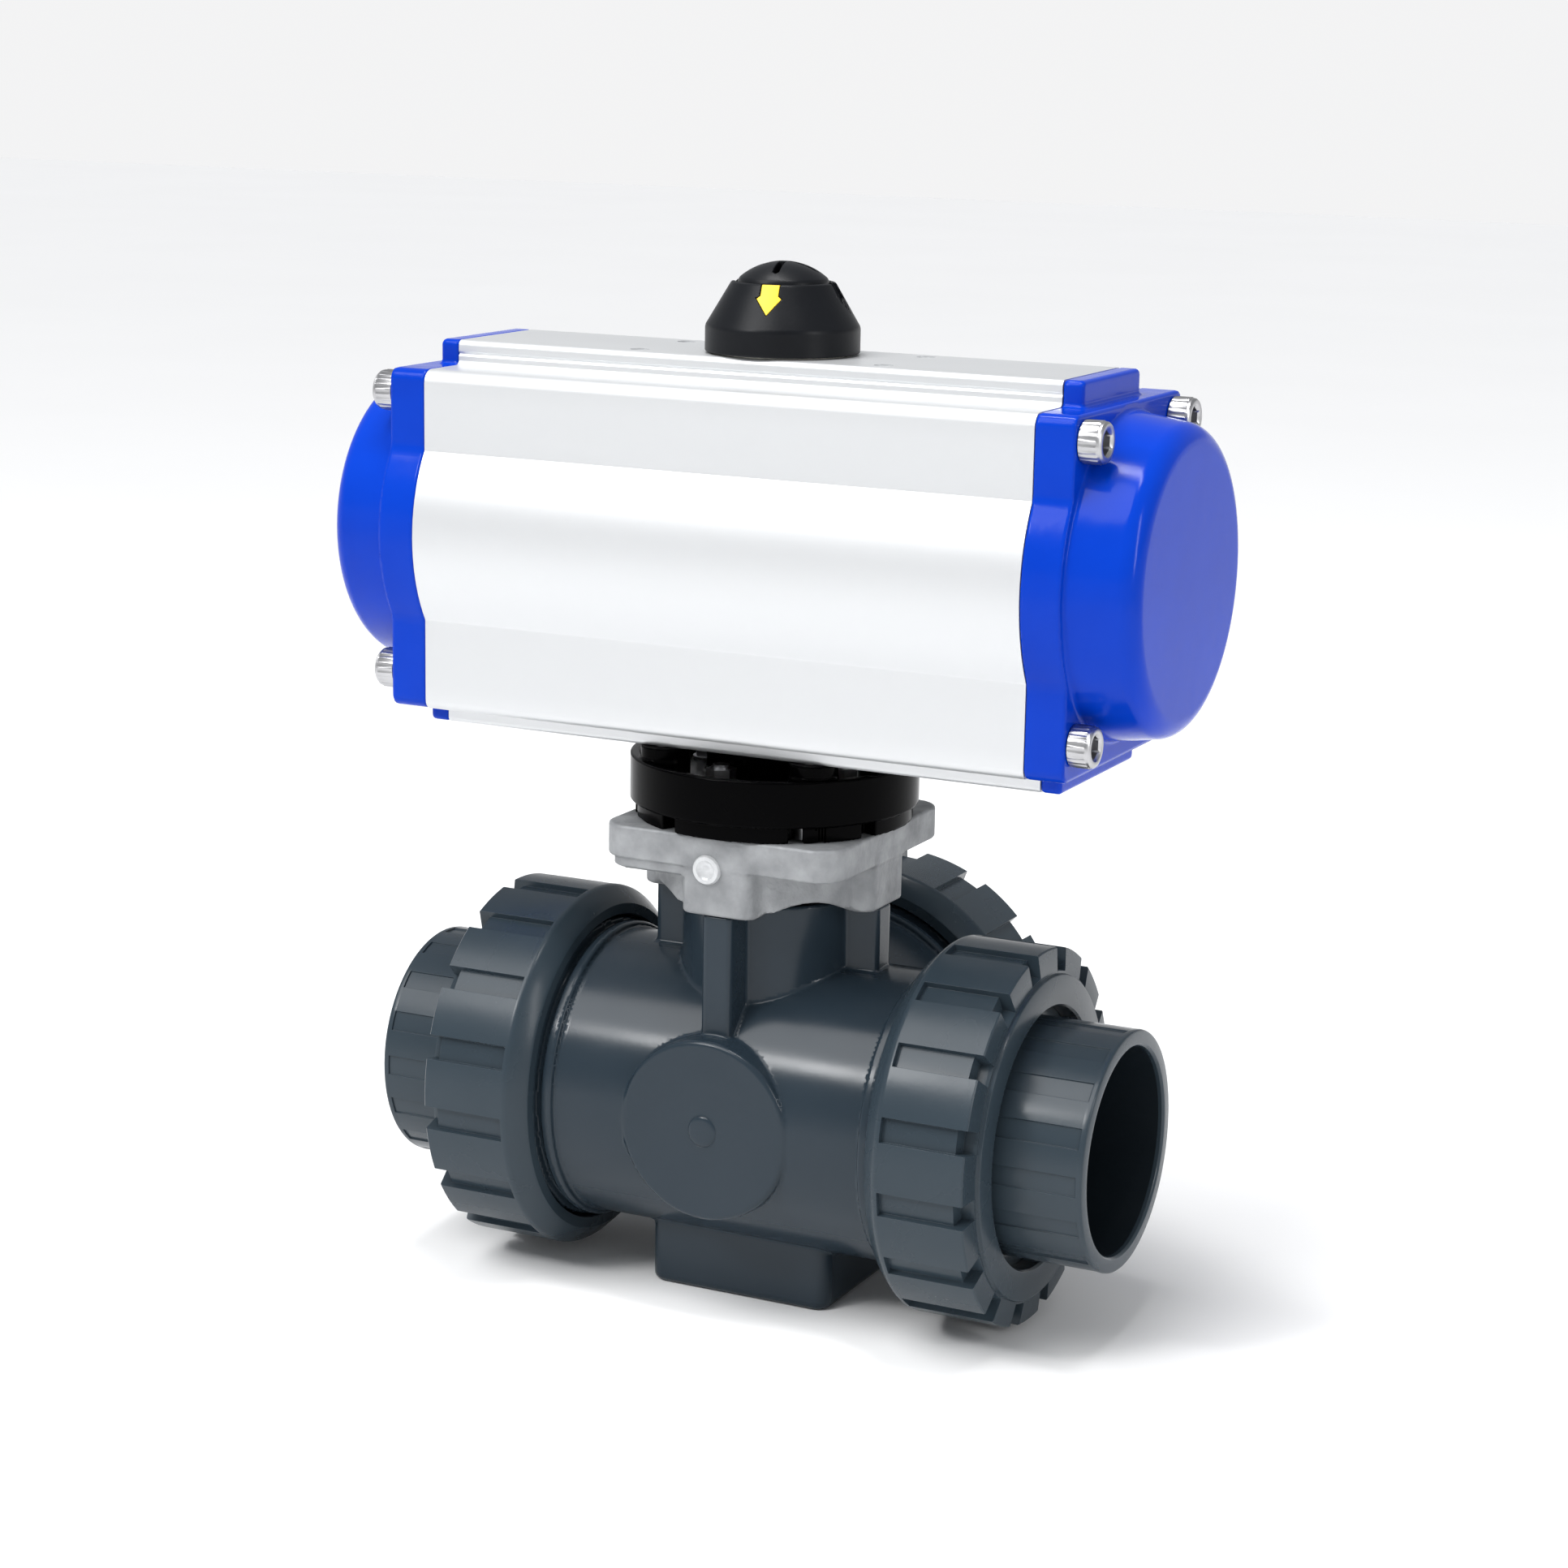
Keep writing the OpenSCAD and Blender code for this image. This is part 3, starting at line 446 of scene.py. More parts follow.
# ---------------------------------------------------------------- actuator body
def rounded(points, steps=6):
    """Outline whose corners (u, v, radius) are replaced by arcs."""
    out = []
    n = len(points)
    for i, (u, v, r) in enumerate(points):
        if r <= 0:
            out.append((u, v))
            continue
        p = Vector((u, v))
        a = (Vector(points[i - 1][:2]) - p).normalized()
        b = (Vector(points[(i + 1) % n][:2]) - p).normalized()
        half = a.angle(b) / 2
        reach = r / math.tan(half)
        centre = p + (a + b).normalized() * (r / math.sin(half))
        s, e = p + a * reach - centre, p + b * reach - centre
        turn = math.atan2(s.x * e.y - s.y * e.x, s.dot(e))
        for k in range(steps + 1):
            t = turn * k / steps
            out.append((centre.x + s.x * math.cos(t) - s.y * math.sin(t),
                        centre.y + s.x * math.sin(t) + s.y * math.cos(t)))
    return out


def body_outline():
    """Section through the body: down the -Y side, then up the +Y side with its air-port band."""
    kink = math.atan2(math.sqrt(BULGE_R**2 - SIDE_Y**2), -SIDE_Y)  # where the bulge leaves the flat side
    parts = 18
    bulge = []
    for k in range(parts + 1):
        a = kink + (2 * (math.pi - kink)) * k / parts
        bulge.append((BULGE_R * math.cos(a), BORE_Z + BULGE_R * math.sin(a), 1.2 if k in (0, parts) else 0))
    groove = (BODY_Z1 + FLAT_Z1) / 2 - 0.4  # shallow line along the top rail
    top = [(-TOP_RAIL, BODY_Z1, 1.8), (-TOP_RAIL, groove + 0.7, 0.3), (-TOP_RAIL + 0.5, groove, 0.3),
           (-TOP_RAIL, groove - 0.7, 0.3), (-TOP_RAIL, FLAT_Z1, 1.5)]
    bottom = [(-BOTTOM_RAIL, FLAT_Z0, 1.2), (-BOTTOM_RAIL, BODY_Z0, 1.6)]
    left = top + [(-SIDE_Y, FLAT_Z1, 4.0)] + bulge + [(-SIDE_Y, FLAT_Z0, 3.0)] + bottom
    band = [(SIDE_Y, FLAT_Z0, 3.0), (SIDE_Y, BORE_Z - BAND_HALF, 2.0),
            (BAND_Y, BORE_Z - BAND_HALF, 2.2), (BAND_Y, BORE_Z + BAND_HALF, 2.2),
            (SIDE_Y, BORE_Z + BAND_HALF, 2.0), (SIDE_Y, FLAT_Z1, 4.0)]
    right = [(-u, v, r) for u, v, r in reversed(bottom)] + band + [(-u, v, r) for u, v, r in reversed(top)]
    return rounded(left + right)


def dense(outline, step=math.radians(4)):
    """The same outline with extra points on its straights, at most step apart as seen from the bore."""
    out = []
    for (u0, v0), (u1, v1) in zip(outline, outline[1:] + outline[:1]):
        turn = math.atan2(v1 - BORE_Z, u1) - math.atan2(v0 - BORE_Z, u0)
        n = max(1, math.ceil(abs((turn + math.pi) % (2 * math.pi) - math.pi) / step))
        out += [(u0 + (u1 - u0) * k / n, v0 + (v1 - v0) * k / n) for k in range(n)]
    return out


def tube_between(name, outline, radius, x0, x1):
    """Extruded section with a round bore: the outline is matched point to point with the bore."""
    outline = dense(outline)
    angle = [math.atan2(v - BORE_Z, u) for u, v in outline]
    inner = [(radius * math.cos(a), BORE_Z + radius * math.sin(a)) for a in angle]
    stations = ((x0 + 0.3, inner), (x0, inner), (x0, outline), (x0 + 0.01, outline), (x1 - 0.01, outline),
                (x1, outline), (x1, inner), (x1 - 0.3, inner))
    rings = [[(x, u, v) for u, v in points] for x, points in stations]
    return loft(name, rings, closed=True, angle=28)


tube = tube_between("actuator_shell", body_outline(), BORE_R, -BODY_X, BODY_X)
body = add("actuator_shell", tube, ANODISED, stands_for=["actuator_body"])
body.data.flip_normals()
body.data.set_sharp_from_angle(angle=math.radians(28))
accessory_holes = [(x, y, 0) for x in (-40, 40) for y in (-15, 15)]
carve(
    body,
    # accessory pattern: screw holes with a small countersink, then the pinion's bores
    *[plug(2.1, BODY_Z1 - 8, BODY_Z1 + 2, "z", place, 32, 1.2) for place in accessory_holes],
    *[plug(2.9, BODY_Z1 - 0.5, BODY_Z1 + 2, "z", place, 32) for place in accessory_holes],
    plug(15.3, BODY_Z1 - 30, BODY_Z1 + 2, "z", (0, 0, 0), 96),
    plug(24.0, BODY_Z0 - 2, BODY_Z0 + 30, "z", (0, 0, 0), 96),
    # flange screws underneath
    *[plug(3.4, BODY_Z0 - 2, BODY_Z0 + 12, "z", (FLANGE_R * math.cos(a), FLANGE_R * math.sin(a), 0), 32)
      for a in DIAGONALS],
    # travel stops: spot face and bore
    *[plug(10.5, SIDE_Y, BAND_Y + 5, "y", (x, 0, STOP_Z), 64) for x in (-STOP_X, STOP_X)],
    *[plug(4.1, 30, BAND_Y + 5, "y", (x, 0, STOP_Z), 32) for x in (-STOP_X, STOP_X)],
    # air ports between the four holes of the solenoid pattern
    plug(4.2, 40, BAND_Y + 1, "y", (-12, 0, BORE_Z), 48),
    plug(5.8, 48.5, BAND_Y + 2, "y", (-12, 0, BORE_Z), 48),
    plug(5.8, 49.9, BAND_Y + 2, "y", (12, 0, BORE_Z), 48),
    *[plug(2.1, BAND_Y - 8, BAND_Y + 2, "y", (x, 0, BORE_Z + dz), 32) for x in (-16, 16) for dz in (-12, 12)],
)
body.data.shade_smooth()
body.data.set_sharp_from_angle(angle=math.radians(28))


# ---------------------------------------------------------------- end caps
def cap_solid(x, y, z):
    """Right-hand cap: flange in the body's outline, rails, round dome and the hollow for the springs."""
    v = z - BORE_Z
    plate = box2(y, z, 0, (FLAT_Z0 + FLAT_Z1) / 2, SIDE_Y, (FLAT_Z1 - FLAT_Z0) / 2, 3.5)
    plate = join(plate, norm(y, v) - BULGE_R, 1.0)
    plate = join(plate, box2(y, v, 44.0, 0, BAND_Y - 44.0, BAND_HALF, 2.2), 1.5)
    flange = meet(plate, span(x, BODY_X, CAP_X), 0.8)
    top = box2(y, z, 0, BODY_Z1 - 12, TOP_RAIL, 12, 1.8)
    bottom = box2(y, z, 0, BODY_Z0 + 12, BOTTOM_RAIL, 12, 1.6)
    rails = meet(join(top, bottom), span(x, BODY_X, BODY_X + 6.4), 1.2)
    solid = join(flange, rails, 1.2)
    radius = norm(y, v)
    drop = (x - CAP_X) / (DOME_X - CAP_X)
    side = (radius - (DOME_R - DOME_DRAFT * drop)) * 0.99
    dome = meet(side, span(x, BODY_X + 3, DOME_X), DOME_EDGE)
    # round clearances in the dome leave room for each screw head
    for sz in SCREW_Z:
        for sy in (-SCREW_Y, SCREW_Y):
            dome = cut(dome, rod(y, z, x, sy, sz, 7.7, CAP_X - 0.1, CAP_X + 60), 0.9)
    solid = join(solid, dome, 1.1)
    return cut(solid, rod(y, z, x, 0, BORE_Z, HOLLOW_R, BODY_X - 1, BODY_X + HOLLOW_DEEP), 0.6)


cap_lo, cap_hi = mm_box("end_cap_right")
cap_mesh = net_mesh("cap_right", cap_solid, (BODY_X - 1.2, cap_lo[1] - 1.2, cap_lo[2] - 1.2),
                    (cap_hi[0] + 1.2, cap_hi[1] + 1.2, cap_hi[2] + 1.2), 0.9)
add("cap_right", cap_mesh, BLUE, stands_for=["end_cap_right"])
add("cap_left", turned_mesh(cap_mesh, "cap_left", Matrix.Scale(-1, 4, (1, 0, 0))), BLUE,
    stands_for=["end_cap_left"])


def socket_screw(name, centre, head_r, head_h, across, depth, side):
    """Knurled socket head along X, seated at centre, with a chamfered rim and a hexagon socket."""

    def knurl(a):
        return head_r - 0.26 * (0.5 + 0.5 * math.cos(a * 24))

    def at(radius, w):
        return ring(radius, x0 + side * w, 96, "x", (0, y, z))

    x0, y, z = centre
    rings = [at(3.8, -10), at(3.8, 0), at(head_r - 0.5, 0), at(head_r - 0.1, 0.35), at(knurl, 0.8),
             at(knurl, head_h - 1.5), at(head_r - 0.28, head_h - 1.3), at(head_r - 0.3, head_h - 0.6),
             at(head_r - 0.7, head_h - 0.1), at(head_r - 0.95, head_h), at(4.25, head_h),
             at(3.95, head_h - 0.15), at(hexagon(across, 0.1), head_h - 0.8),
             at(hexagon(across, 0.1), head_h - depth), at(0.3, head_h - depth - 0.9)]
    mesh = loft(name, rings, angle=32)
    if side < 0:
        mesh.flip_normals()
    return mesh


def merged(name, meshes):
    """One mesh from several."""
    bm = bmesh.new()
    for m in meshes:
        bm.from_mesh(m)
        bpy.data.meshes.remove(m)
    mesh = bpy.data.meshes.new(name)
    bm.to_mesh(mesh)
    bm.free()
    return mesh


for label, s in (("right", 1), ("left", -1)):
    heads = [socket_screw("screw", (s * CAP_X, y, z), HEAD_R, HEAD_H, KEY, KEY_DEPTH, s)
             for y in (-SCREW_Y, SCREW_Y) for z in SCREW_Z]
    add(f"screws_{label}", merged(f"screws_{label}", heads), STAINLESS, stands_for=[f"cap_screws_{label}"])


# ---------------------------------------------------------------- return springs
def coil_mesh(name, radius, wire, turns, x0, x1, steps=36, sides=12):
    """Round wire coiled about the bore's axis, with its end turns closed."""
    rings = []
    for k in range(int(turns * steps) + 1):
        a = 2 * math.pi * k / steps
        rise = min(max((k / steps - 0.75) / (turns - 1.5), 0), 1)
        x = x0 + wire + (x1 - x0 - 2 * wire) * rise
        rings.append([(x + wire * math.sin(b), (radius + wire * math.cos(b)) * math.cos(a),
                       BORE_Z + (radius + wire * math.cos(b)) * math.sin(a))
                      for b in (2 * math.pi * j / sides for j in range(sides))])
    return loft(name, rings, angle=60)


COILS = ((28.5, 2.0, 6), (19.5, 1.4, 8))  # coil radius, wire radius and turns of each nested spring
for label, s in (("right", 1), ("left", -1)):
    near, far = sorted((corner[0] for corner in mm_box(f"spring_{label}")), key=abs)
    coils = [coil_mesh("coil", radius, wire, turns, abs(near), abs(far)) for radius, wire, turns in COILS]
    mesh = merged(f"coils_{label}", coils)
    if s < 0:
        mesh.transform(Matrix.Rotation(math.pi, 4, "Z"))
    mesh.shade_smooth()
    springs = add(f"coils_{label}", mesh, SPRING, stands_for=[f"spring_{label}"])
    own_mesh(springs)


# ---------------------------------------------------------------- position indicator
LID_SEAT_R, LID_SEAT_Z = 14.1, 307.6  # recess that takes the lid
UNDER_R, UNDER_Z = 20.9, 294.5  # hollow underneath
HEAD_ROOM_R, HEAD_ROOM_Z = 9.0, 306.2  # room for the shaft's end and its screw
RECESSES = ((-0.5, 1.2), (0.0, 1.3), (0.5, 1.3), (1.0, 1.3))  # half turns and depth; the first is filled
TILT = math.atan2(IND_Z2 - IND_Z1, IND_R - IND_R2)
CONE_MID = np.array([(IND_R + IND_R2) / 2, (IND_Z1 + IND_Z2) / 2])


def arrow(s, t, grow=0.0):
    """Arrow outline pointing down the slope: s runs down, t across."""
    half = np.abs(t)
    shaft = np.maximum(half - 2.65 - grow, s + 3.0)
    head = np.maximum((s - 2.35 - grow) * 0.56 + half * 0.83, half - 3.75 - grow)
    head = np.maximum(head, (-3.2 - s) * 0.78 + (half - 3.75) * 0.62 - grow)
    return np.minimum(shaft, head)


def on_cone(x, y, z, turn):
    """Coordinates on the cone at an angle: down the slope, across, and outwards."""
    c, s = math.cos(turn), math.sin(turn)
    u, t = x * c + y * s - CONE_MID[0], -x * s + y * c
    w = z - CONE_MID[1]
    return u * math.cos(TILT) - w * math.sin(TILT), t, u * math.sin(TILT) + w * math.cos(TILT)


def cone_side(x, y, z):
    """Distance outside the indicator's sloped wall."""
    r = norm(x, y)
    return (r - CONE_MID[0]) * math.sin(TILT) + (z - CONE_MID[1]) * math.cos(TILT)


def indicator_solid(x, y, z):
    r = norm(x, y)
    solid = meet(meet(r - IND_R, cone_side(x, y, z), 0.35), span(z, IND_Z0, IND_Z2), 0.5)
    solid = cut(solid, meet(r - LID_SEAT_R, span(z, LID_SEAT_Z, 320), 0.0), 0.5)
    solid = cut(solid, meet(r - UNDER_R, span(z, 280, UNDER_Z), 0.0), 0.3)
    solid = cut(solid, meet(r - HEAD_ROOM_R, span(z, 280, HEAD_ROOM_Z), 0.0), 0.2)
    for k, deep in RECESSES:
        s, t, w = on_cone(x, y, z, k * math.pi + IND_TURN)
        solid = cut(solid, np.maximum(arrow(s, t, 0.12), -w - deep), 0.15)
    return solid


def arrow_solid(x, y, z):
    s, t, w = on_cone(x, y, z, IND_TURN - 0.5 * math.pi)
    face = meet(cone_side(x, y, z) + 0.1, z - IND_Z2 + 0.15, 0.2)
    return meet(meet(arrow(s, t), face, 0.15), -w - 1.15, 0.1)


LID_R, LID_H, LID_Z = 13.6, 5.4, 311.6  # radius, rise and foot of the lid's dome
LID_SR = (LID_R**2 + LID_H**2) / (2 * LID_H)


def lid_solid(x, y, z):
    r = norm(x, y)
    dome = norm(x, y, z - (LID_Z + LID_H - LID_SR)) - LID_SR
    solid = meet(meet(r - LID_R, dome, 0.8), 307.8 - z, 0.5)
    c, s = math.cos(IND_TURN), math.sin(IND_TURN)
    a, b = x * c + y * s, y * c - x * s
    for u, v in ((a, b), (-a, b), (b, a), (-b, a)):
        slot = norm(np.maximum(np.abs(u - 5.8) - 3.5, 0), v) - 1.0
        solid = cut(solid, np.maximum(slot, 312.6 - z), 0.2)
    return solid


add("indicator", net_mesh("indicator", indicator_solid, (-24, -24, IND_Z0 - 1), (24, 24, IND_Z2 + 1), 0.42),
    BLACK_SATIN, "drive", ["indicator_cone"])
add("indicator_dome", net_mesh("indicator_dome", lid_solid, (-14.4, -14.4, 307), (14.4, 14.4, 318), 0.32),
    BLACK_SATIN, "drive", ["indicator_lid"])
add("arrow_insert", net_mesh("arrow_insert", arrow_solid, (-2, -26, 296), (9.5, -12, 313), 0.22),
    YELLOW, "drive", ["indicator_arrow"])


# ---------------------------------------------------------------- adaptor disc
POST_R = 7.4  # posts around the flange screws
DISH_WALL, DISH_FLOOR = 3.0, 163.2
RIM_IN, RIM_OUT = 34.0, 42.4  # the rim that stands on the bracket
NOTCHES = ((-22, 2.6), (-55, 2.2))  # direction in degrees and half width, on each of four sides
NOTCH_IN = 37.5
DISC_BORE = 17.2


def disc_solid(x, y, z):
    r = norm(x, y)
    hub = meet(r - HUB_R, span(z, DISC_Z0, BODY_Z0 + 2), 0.5)
    solid = meet(r - DISC_R, span(z, DISC_Z0 - 1.2, DISC_Z1), 0.5)
    posts = np.minimum.reduce([norm(x - FLANGE_R * math.cos(a), y - FLANGE_R * math.sin(a)) - POST_R
                               for a in DIAGONALS])
    dish = meet(r - (DISC_R - DISH_WALL), DISH_FLOOR - z, 1.0)
    dish = cut(dish, np.minimum(posts, r - HUB_R), 1.0)
    solid = cut(solid, dish, 0.5)
    solid = join(join(solid, hub), meet(posts, span(z, DISC_Z0, BODY_Z0), 0.4), 0.8)
    rim = np.maximum(np.maximum(r - RIM_OUT, RIM_IN - r), span(z, PLATE_Z1, DISC_Z0 + 1))
    for quarter in range(4):
        for direction, half in NOTCHES:
            a = math.radians(90 * quarter + direction)
            across = np.abs(-x * math.sin(a) + y * math.cos(a)) - half
            inner = NOTCH_IN - (x * math.cos(a) + y * math.sin(a))
            rim = cut(rim, np.maximum(np.maximum(across, inner), z - DISC_Z0 + 0.4), 0.4)
    solid = join(solid, rim, 0.3)
    solid = cut(solid, np.maximum(posts + 0.6, z - DISC_Z0), 0.3)
    return cut(solid, r - DISC_BORE, 0.4)


add("disc", net_mesh("disc", disc_solid, (-45, -45, PLATE_Z1 - 1), (45, 45, BODY_Z0 + 3), 0.7), BLACK_GLOSS,
    stands_for=["adaptor_disc"])


# ---------------------------------------------------------------- bracket
def four(x, y, shape):
    """Smallest distance over the four sides of a fourfold part."""
    return np.minimum(np.minimum(shape(x, y), shape(-x, -y)), np.minimum(shape(y, -x), shape(-y, x)))


WEB_OUT, WEB_IN = 36.0, 28.1  # round web between the legs
SKIRT_END = 11.0  # the skirt stops this far left of the middle
ARCH_R, ARCH_DROP = 22.0, 31.8  # arches through the web, seen along the diagonals
STEM_HOLE = 17.6
POCKET_R, POCKET_OUT, POCKET_Z = 5.3, 37.9, 144.3  # pockets for the screws into the valve


def bracket_solid(x, y, z):
    r = norm(x, y)
    plate = meet(box2(x, y, 0, 0, PLATE_S, PLATE_S, 9.0), span(z, PLATE_Z0, PLATE_Z1), 1.0)
    legs = four(x, y, lambda u, v: box2(u, v, 31.5, 0, 7.5, 12.0, 3.6))
    legs = meet(legs, span(z, LEG_Z0, PLATE_Z0 + 4), 1.2)
    web = np.maximum(r - WEB_OUT, WEB_IN - r)
    web = np.maximum(web, span(z, PLATE_Z0 - 12.6, PLATE_Z0 + 3))
    solid = join(join(legs, web, 2.5), plate, 1.2)
    # shallow skirt under the left edge and the left part of the front edge
    skirt = np.maximum(box2(x, y, 0, 0, 38.0, 38.0, 8.4), 30.0 - r)
    skirt = np.maximum(np.maximum(skirt, span(z, 136.6, PLATE_Z0 + 2)), np.maximum(x + SKIRT_END, y - 30))
    solid = join(solid, skirt, 0.6)
    arches = np.minimum(*[norm(-x * math.sin(a) + y * math.cos(a), z - (PLATE_Z0 - ARCH_DROP)) - ARCH_R
                          for a in DIAGONALS[:2]])
    solid = cut(solid, np.maximum(arches, 22 - r), 0.8)
    solid = cut(solid, np.maximum(r - WEB_IN, z - PLATE_Z0 + 0.8), 0.6)
    solid = cut(solid, r - STEM_HOLE, 0.6)
    pockets = four(x, y, lambda u, v: np.maximum(norm(u - COLUMN_R, v) - POCKET_R, u - POCKET_OUT))
    return cut(solid, np.maximum(pockets, POCKET_Z - z), 0.4)


add("bracket", net_mesh("bracket", bracket_solid, (-41, -41, LEG_Z0 - 1), (41, 41, PLATE_Z1 + 1), 0.75), CAST,
    stands_for=["mounting_bracket"])

# casting gate on the front edge, coloured brighter than the casting around it
BRIGHT = surface("bright_cast_gate", (0.44, 0.45, 0.46), (0.66, 0.67, 0.68), (0.32, 0.46), metal=0.3, coarse=260,
                 fine=900, relief=0.5, depth=0.0004)
GATE_X = -2.6
GATE = ((4.6, 38.6), (4.5, 39.8), (4.1, 40.4), (3.0, 40.5), (2.5, 40.0), (1.2, 39.8), (0.2, 40.1))
gate_rings = [ring(r, -y, 64, "y", (GATE_X, 0, PLATE_Z0)) for r, y in GATE]
add("bracket_gate", loft("bracket_gate", gate_rings, angle=45), BRIGHT)


# ---------------------------------------------------------------- valve body
def valve_solid(x, y, z):
    """Run and rear branch, front boss, stem column with four ribs, foot, and the open bores."""
    v = z - RUN_Z

    def neck(u, w, along, more=0.0):
        plain = np.maximum(norm(u, w) - RUN_R, span(along, -1, BRANCH + more))
        collar = meet(norm(u, w) - COLLAR_R, span(along, 51.6 + more, 55.4 + more), 1.0)
        thread = np.maximum(norm(u, w) - THREAD_R, span(along, BRANCH + more, 80 + more))
        return join(join(plain, collar, 0.7), thread)

    run = np.minimum(neck(y, v, x), neck(y, v, -x))
    solid = join(run, neck(x, v, y, REAR_MORE), 1.5)
    boss = meet(norm(x, v) - BOSS_R, span(y, BOSS_Y, -15), 1.6)
    solid = join(solid, boss, 0.7)
    column = rod(x, y, z, 0, 0, NECK_R, RUN_Z, NECK_Z, 0.8)
    ribs = four(x, y, lambda a, b: box2(a, b, 29, 0, 9.0, 5.0, 1.7))
    ribs = np.maximum(ribs, span(z, RUN_Z, LEG_Z0))
    solid = join(solid, join(column, ribs, 0.7), 0.8)
    foot = meet(box2(x, y, 0, 4.5, 30.5, 25.5, 5.0), span(z, 0, RUN_Z), 2.4)
    solid = join(solid, foot, 1.0)
    bore = np.maximum(norm(y, v) - RUN_BORE, np.abs(x) - 81)
    bore = np.minimum(bore, np.maximum(norm(x, v) - RUN_BORE, -y))
    solid = cut(solid, bore, 0.4)
    return cut(solid, np.maximum(norm(x, y) - 12.1, RUN_Z - z), 0.4)


shell = net_mesh("valve_shell", valve_solid, (-81.5, -48.6, -1.2), (81.5, 89.5, NECK_Z + 1.4), 1.15)
add("valve_shell", shell, PVC, stands_for=["valve_body"])

# moulding gate mark on the boss: a low button with a thin ring around it
MARK = ((5.3, -0.4), (5.3, 0.04), (4.95, 0.1), (4.8, -0.02), (4.6, 0.25), (4.1, 0.5), (3.2, 0.62),
        (0.2, 0.66))
mark_rings = [ring(r, BOSS_Y - w, 72, "y", (0, 0, RUN_Z)) for r, w in MARK]
add("gate_mark", loft("gate_mark", mark_rings, angle=40), PVC)


# ---------------------------------------------------------------- union nuts
def nut_mesh(name):
    """Union nut along +X about its own axis: grip blocks between rectangular pockets."""
    slots, half, depth = 16, 3.75, 1.8
    pitch, w = 2 * math.pi / slots, half / NUT_R
    # columns across one pitch: angle and how far it lies in the pocket
    across = [(-w - 0.012, 0), (-w - 0.004, 0), (-w, 0), (-w + 0.003, 1), (-w + 0.012, 1), (-w / 3, 1)]
    across += [(-a, low) for a, low in reversed(across)]
    gap = pitch - 2 * (w + 0.012)
    across += [(w + 0.012 + gap * k / 6, 0) for k in range(1, 6)]
    angles = [(pitch * k + a, low) for k in range(slots) for a, low in across]
    floor = NUT_R - depth
    # stations: distance along X, radius on a block, radius in a pocket
    stations = [(NUT_X0 + 2.2, 47.9, 47.9), (NUT_X0, 48.7, 48.7), (NUT_X0, 52.0, 52.0),
                (NUT_X0 + 0.5, 52.9, 52.9), (NUT_X0 + 4.6, 56.9, 56.9),
                (NUT_X0 + 5.4, NUT_R - 0.1, NUT_R - 0.1), (NUT_X0 + 6.2, NUT_R, NUT_R),
                (63.2, NUT_R, NUT_R), (63.4, NUT_R, floor), (64.0, NUT_R, floor), (86.6, NUT_R, floor),
                (87.0, NUT_R, 50.9), (89.8, NUT_R, 50.7), (90.2, NUT_R - 0.4, 50.6), (91.0, 50.6, 50.4),
                (90.9, 50.1, 50.0), (90.9, 49.7, 49.6), (91.2, 49.5, 49.5), (92.0, 49.3, 49.3),
                (NUT_X1, 48.9, 48.9), (NUT_X1, 40.5, 40.5), (NUT_X1 - 0.7, 39.9, 39.9), (86.1, 39.9, 39.9),
                (86.1, 47.9, 47.9)]
    rings = [[(x, (lo if low else hi) * math.cos(a), (lo if low else hi) * math.sin(a)) for a, low in angles]
             for x, hi, lo in stations]
    return loft(name, rings, closed=True, angle=28)


def socket_mesh(name):
    """End connector along +X: flange behind the nut, panelled barrel, rounded socket mouth."""
    panels, half, deep = 16, 0.085, 0.5
    pitch = 2 * math.pi / panels
    across = [(-half, 0), (-half + 0.004, 1), (0, 1), (half - 0.004, 1), (half, 0)]
    across += [(half + (pitch - 2 * half) * k / 5, 0) for k in range(1, 5)]
    angles = [(pitch * k + a + 0.02, low) for k in range(panels) for a, low in across]
    x1 = FACE_X
    # stations: distance along X, radius, depth of a panel
    stations = [(70.1, 25.0, 0), (70.1, 36.9, 0), (72.9, 36.9, 0), (73.0, 33.6, 0), (77.0, 33.6, 0),
                (77.1, 36.9, 0), (80.1, 36.9, 0), (80.1, 47.0, 0), (85.9, 47.0, 0), (86.0, 46.5, 0),
                (86.0, 36.6, deep), (86.2, BARREL_R, deep), (x1 - 2.2, BARREL_R, deep),
                (x1 - 2.0, BARREL_R, 0), (x1 - 1.3, 36.6, 0), (x1 - 0.6, 36.5, 0), (x1 - 0.2, 36.2, 0),
                (x1, 35.7, 0), (x1, 32.4, 0), (x1 - 0.2, 32.0, 0), (x1 - 0.7, 31.6, 0),
                (x1 - 1.8, SOCKET_R, 0), (x1 - SOCKET_DEEP, SOCKET_R, 0), (x1 - SOCKET_DEEP, 25.4, 0),
                (x1 - SOCKET_DEEP - 0.4, 25.0, 0)]
    rings = [[(x, (r - d * low) * math.cos(a), (r - d * low) * math.sin(a)) for a, low in angles]
             for x, r, d in stations]
    mesh = loft(name, rings, closed=True, angle=25)
    n = len(angles)
    first = next(i for i, (x, r, d) in enumerate(stations) if r == SOCKET_R)
    # the bore and its floor take the second material, which paints shade into the socket's mouth
    for face in mesh.polygons[n * first : n * (first + 3)]:
        face.material_index = 1  # the bore and its floor
    return mesh


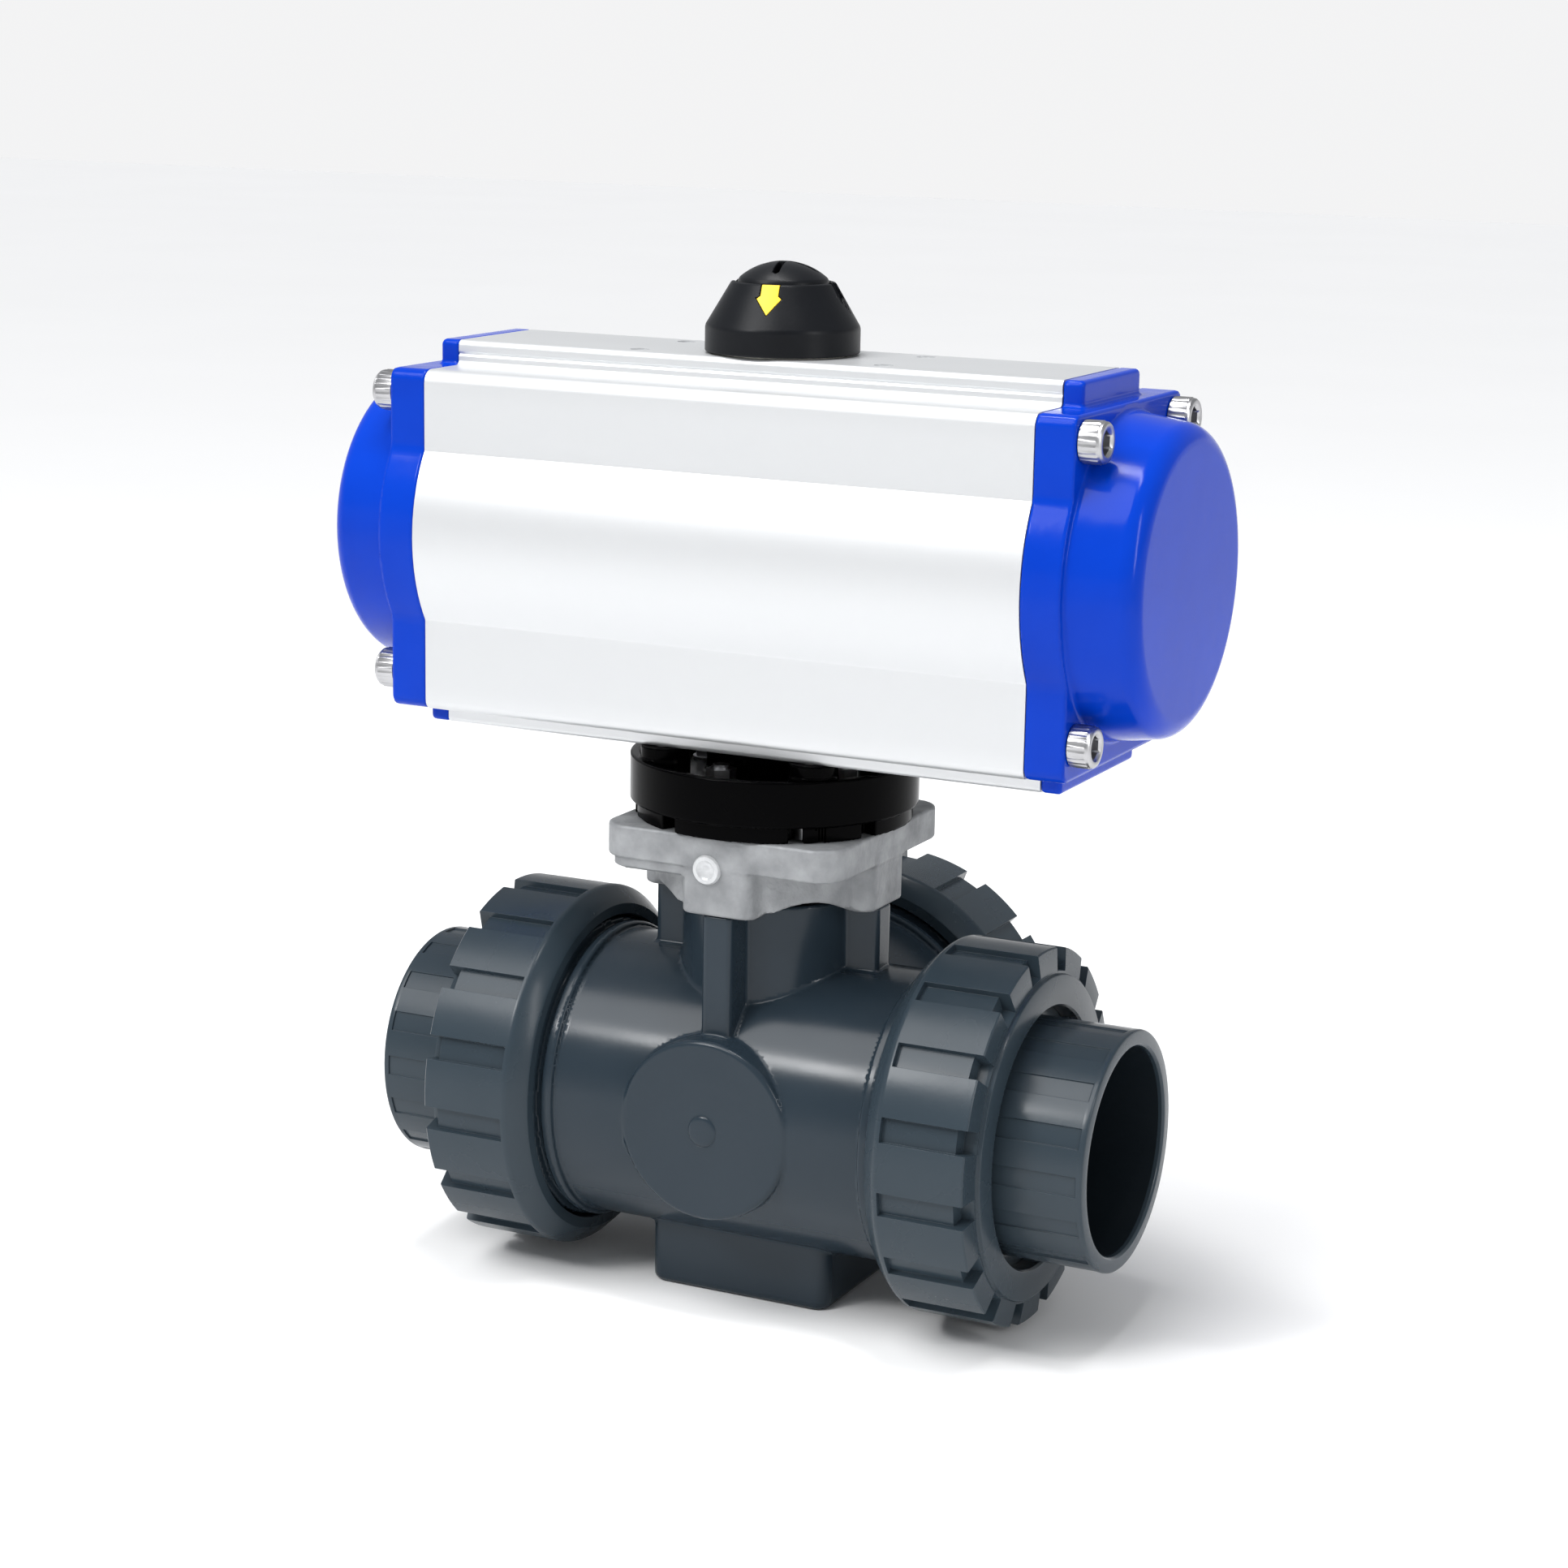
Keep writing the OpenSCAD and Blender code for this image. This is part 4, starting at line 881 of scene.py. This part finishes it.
nut = nut_mesh("nut")
socket = socket_mesh("socket")
for label, turn, more in (("right", 0, 0), ("rear", 90, REAR_MORE), ("left", 180, 0)):
    place = Matrix.Translation((0, more * MM, RUN_Z * MM)) @ Matrix.Rotation(math.radians(turn), 4, "Z")
    copy = nut.copy()
    copy.transform(place @ Matrix.Rotation(math.radians(NUT_TURN[label]), 4, "X"))
    obj = add(f"nut_{label}", copy, PVC_NUT, stands_for=[f"union_nut_{label}"])
    bevelled(obj, 0.28, 2, 35)
    copy = socket.copy()
    copy.transform(place)
    obj = add(f"socket_{label}", copy, PVC_SOCKET, stands_for=[f"end_connector_{label}"])
    # second material: painted shade inside the bore
    copy.materials.append(PVC_BORE_PAINTED_SHADE)
    bevelled(obj, 0.18, 2, 25)


# ---------------------------------------------------------------- stage, light and camera
def shown_floor():
    mat, tree, shader, where = nodes_of("stage_paper")
    tree.links.new(ramp(tree, noise(tree, where, 3.0), shade((0.97, 0.97, 0.97), (0.99, 0.99, 0.99))),
                   shader.inputs["Base Color"])
    shader.inputs["Roughness"].default_value = 0.9
    half = 6.0
    corners = [(-half, -half, 0), (half, -half, 0), (half, half, 0), (-half, half, 0)]
    mesh = bpy.data.meshes.new("stage_floor")
    mesh.from_pydata(corners, [], [(0, 1, 2, 3)])
    mesh.materials.append(mat)
    floor = bpy.data.objects.new("stage_floor", mesh)
    bpy.context.scene.collection.objects.link(floor)


def softbox(name, at, towards, size, power, colour=(1, 1, 1)):
    light = bpy.data.lights.new(name, "AREA")
    light.shape = "RECTANGLE"
    light.size, light.size_y = size
    light.energy = power
    light.color = colour
    obj = bpy.data.objects.new(name, light)
    obj.location = at
    obj.rotation_euler = (Vector(towards) - Vector(at)).to_track_quat("-Z", "Y").to_euler()
    bpy.context.scene.collection.objects.link(obj)


def aim(azimuth, elevation):
    """Unit vector towards a light or the camera: azimuth 0 is the front (-Y), positive to the right."""
    a, e = math.radians(azimuth), math.radians(elevation)
    return Vector((math.sin(a) * math.cos(e), -math.cos(a) * math.cos(e), math.sin(e)))


shown_floor()
world = bpy.data.worlds.new("studio")
world.use_nodes = True
sky = world.node_tree
sky_where = sky.nodes.new("ShaderNodeTexCoord")
sky_split = sky.nodes.new("ShaderNodeSeparateXYZ")
sky.links.new(sky_where.outputs["Generated"], sky_split.inputs["Vector"])
sky.links.new(ramp(sky, sky_split.outputs["Z"], [(0.0, (0.90, 0.90, 0.905)), (0.05, (0.89, 0.89, 0.895)),
                                                 (0.14, (0.42, 0.43, 0.44)), (1.0, (0.40, 0.405, 0.42))]),
              sky.nodes["Background"].inputs["Color"])
sky.nodes["Background"].inputs["Strength"].default_value = 1.0
bpy.context.scene.world = world
centre = Vector((0, 0, 0.16))
sun = bpy.data.lights.new("sun", "SUN")
sun.energy = 1.95
sun.angle = math.radians(38)
sun_object = bpy.data.objects.new("sun", sun)
sun_object.rotation_euler = (-aim(-32, 56)).to_track_quat("-Z", "Y").to_euler()
bpy.context.scene.collection.objects.link(sun_object)
softbox("overhead", centre + aim(-28, 86) * 1.3, centre, (0.9, 0.14), 11)
softbox("front", centre + aim(-30, 36) * 1.5, centre, (0.24, 0.2), 5.5)
softbox("side", centre + aim(75, 22) * 1.4, centre, (0.12, 0.7), 4)
bpy.context.scene.view_settings.view_transform = "Standard"

VIEW_AZ, VIEW_EL, VIEW_ROLL = 26.04, 12.57, 1.05  # degrees
VIEW_AT = (0.4563, -0.9275, 0.3892)
LENS = 79.68
az, roll = math.radians(VIEW_AZ), math.radians(VIEW_ROLL)
back = aim(VIEW_AZ, VIEW_EL)
right = Vector((math.cos(az), math.sin(az), 0))
up = back.cross(right)
across = right * math.cos(roll) + up * math.sin(roll)
upward = up * math.cos(roll) - right * math.sin(roll)
camera = bpy.data.cameras.new("camera")
camera.sensor_width = 36
camera.lens = LENS
view = bpy.data.objects.new("camera", camera)
view.matrix_world = Matrix((
    (across.x, upward.x, back.x, VIEW_AT[0]),
    (across.y, upward.y, back.y, VIEW_AT[1]),
    (across.z, upward.z, back.z, VIEW_AT[2]),
    (0, 0, 0, 1),
))
bpy.context.scene.collection.objects.link(view)
bpy.context.scene.camera = view
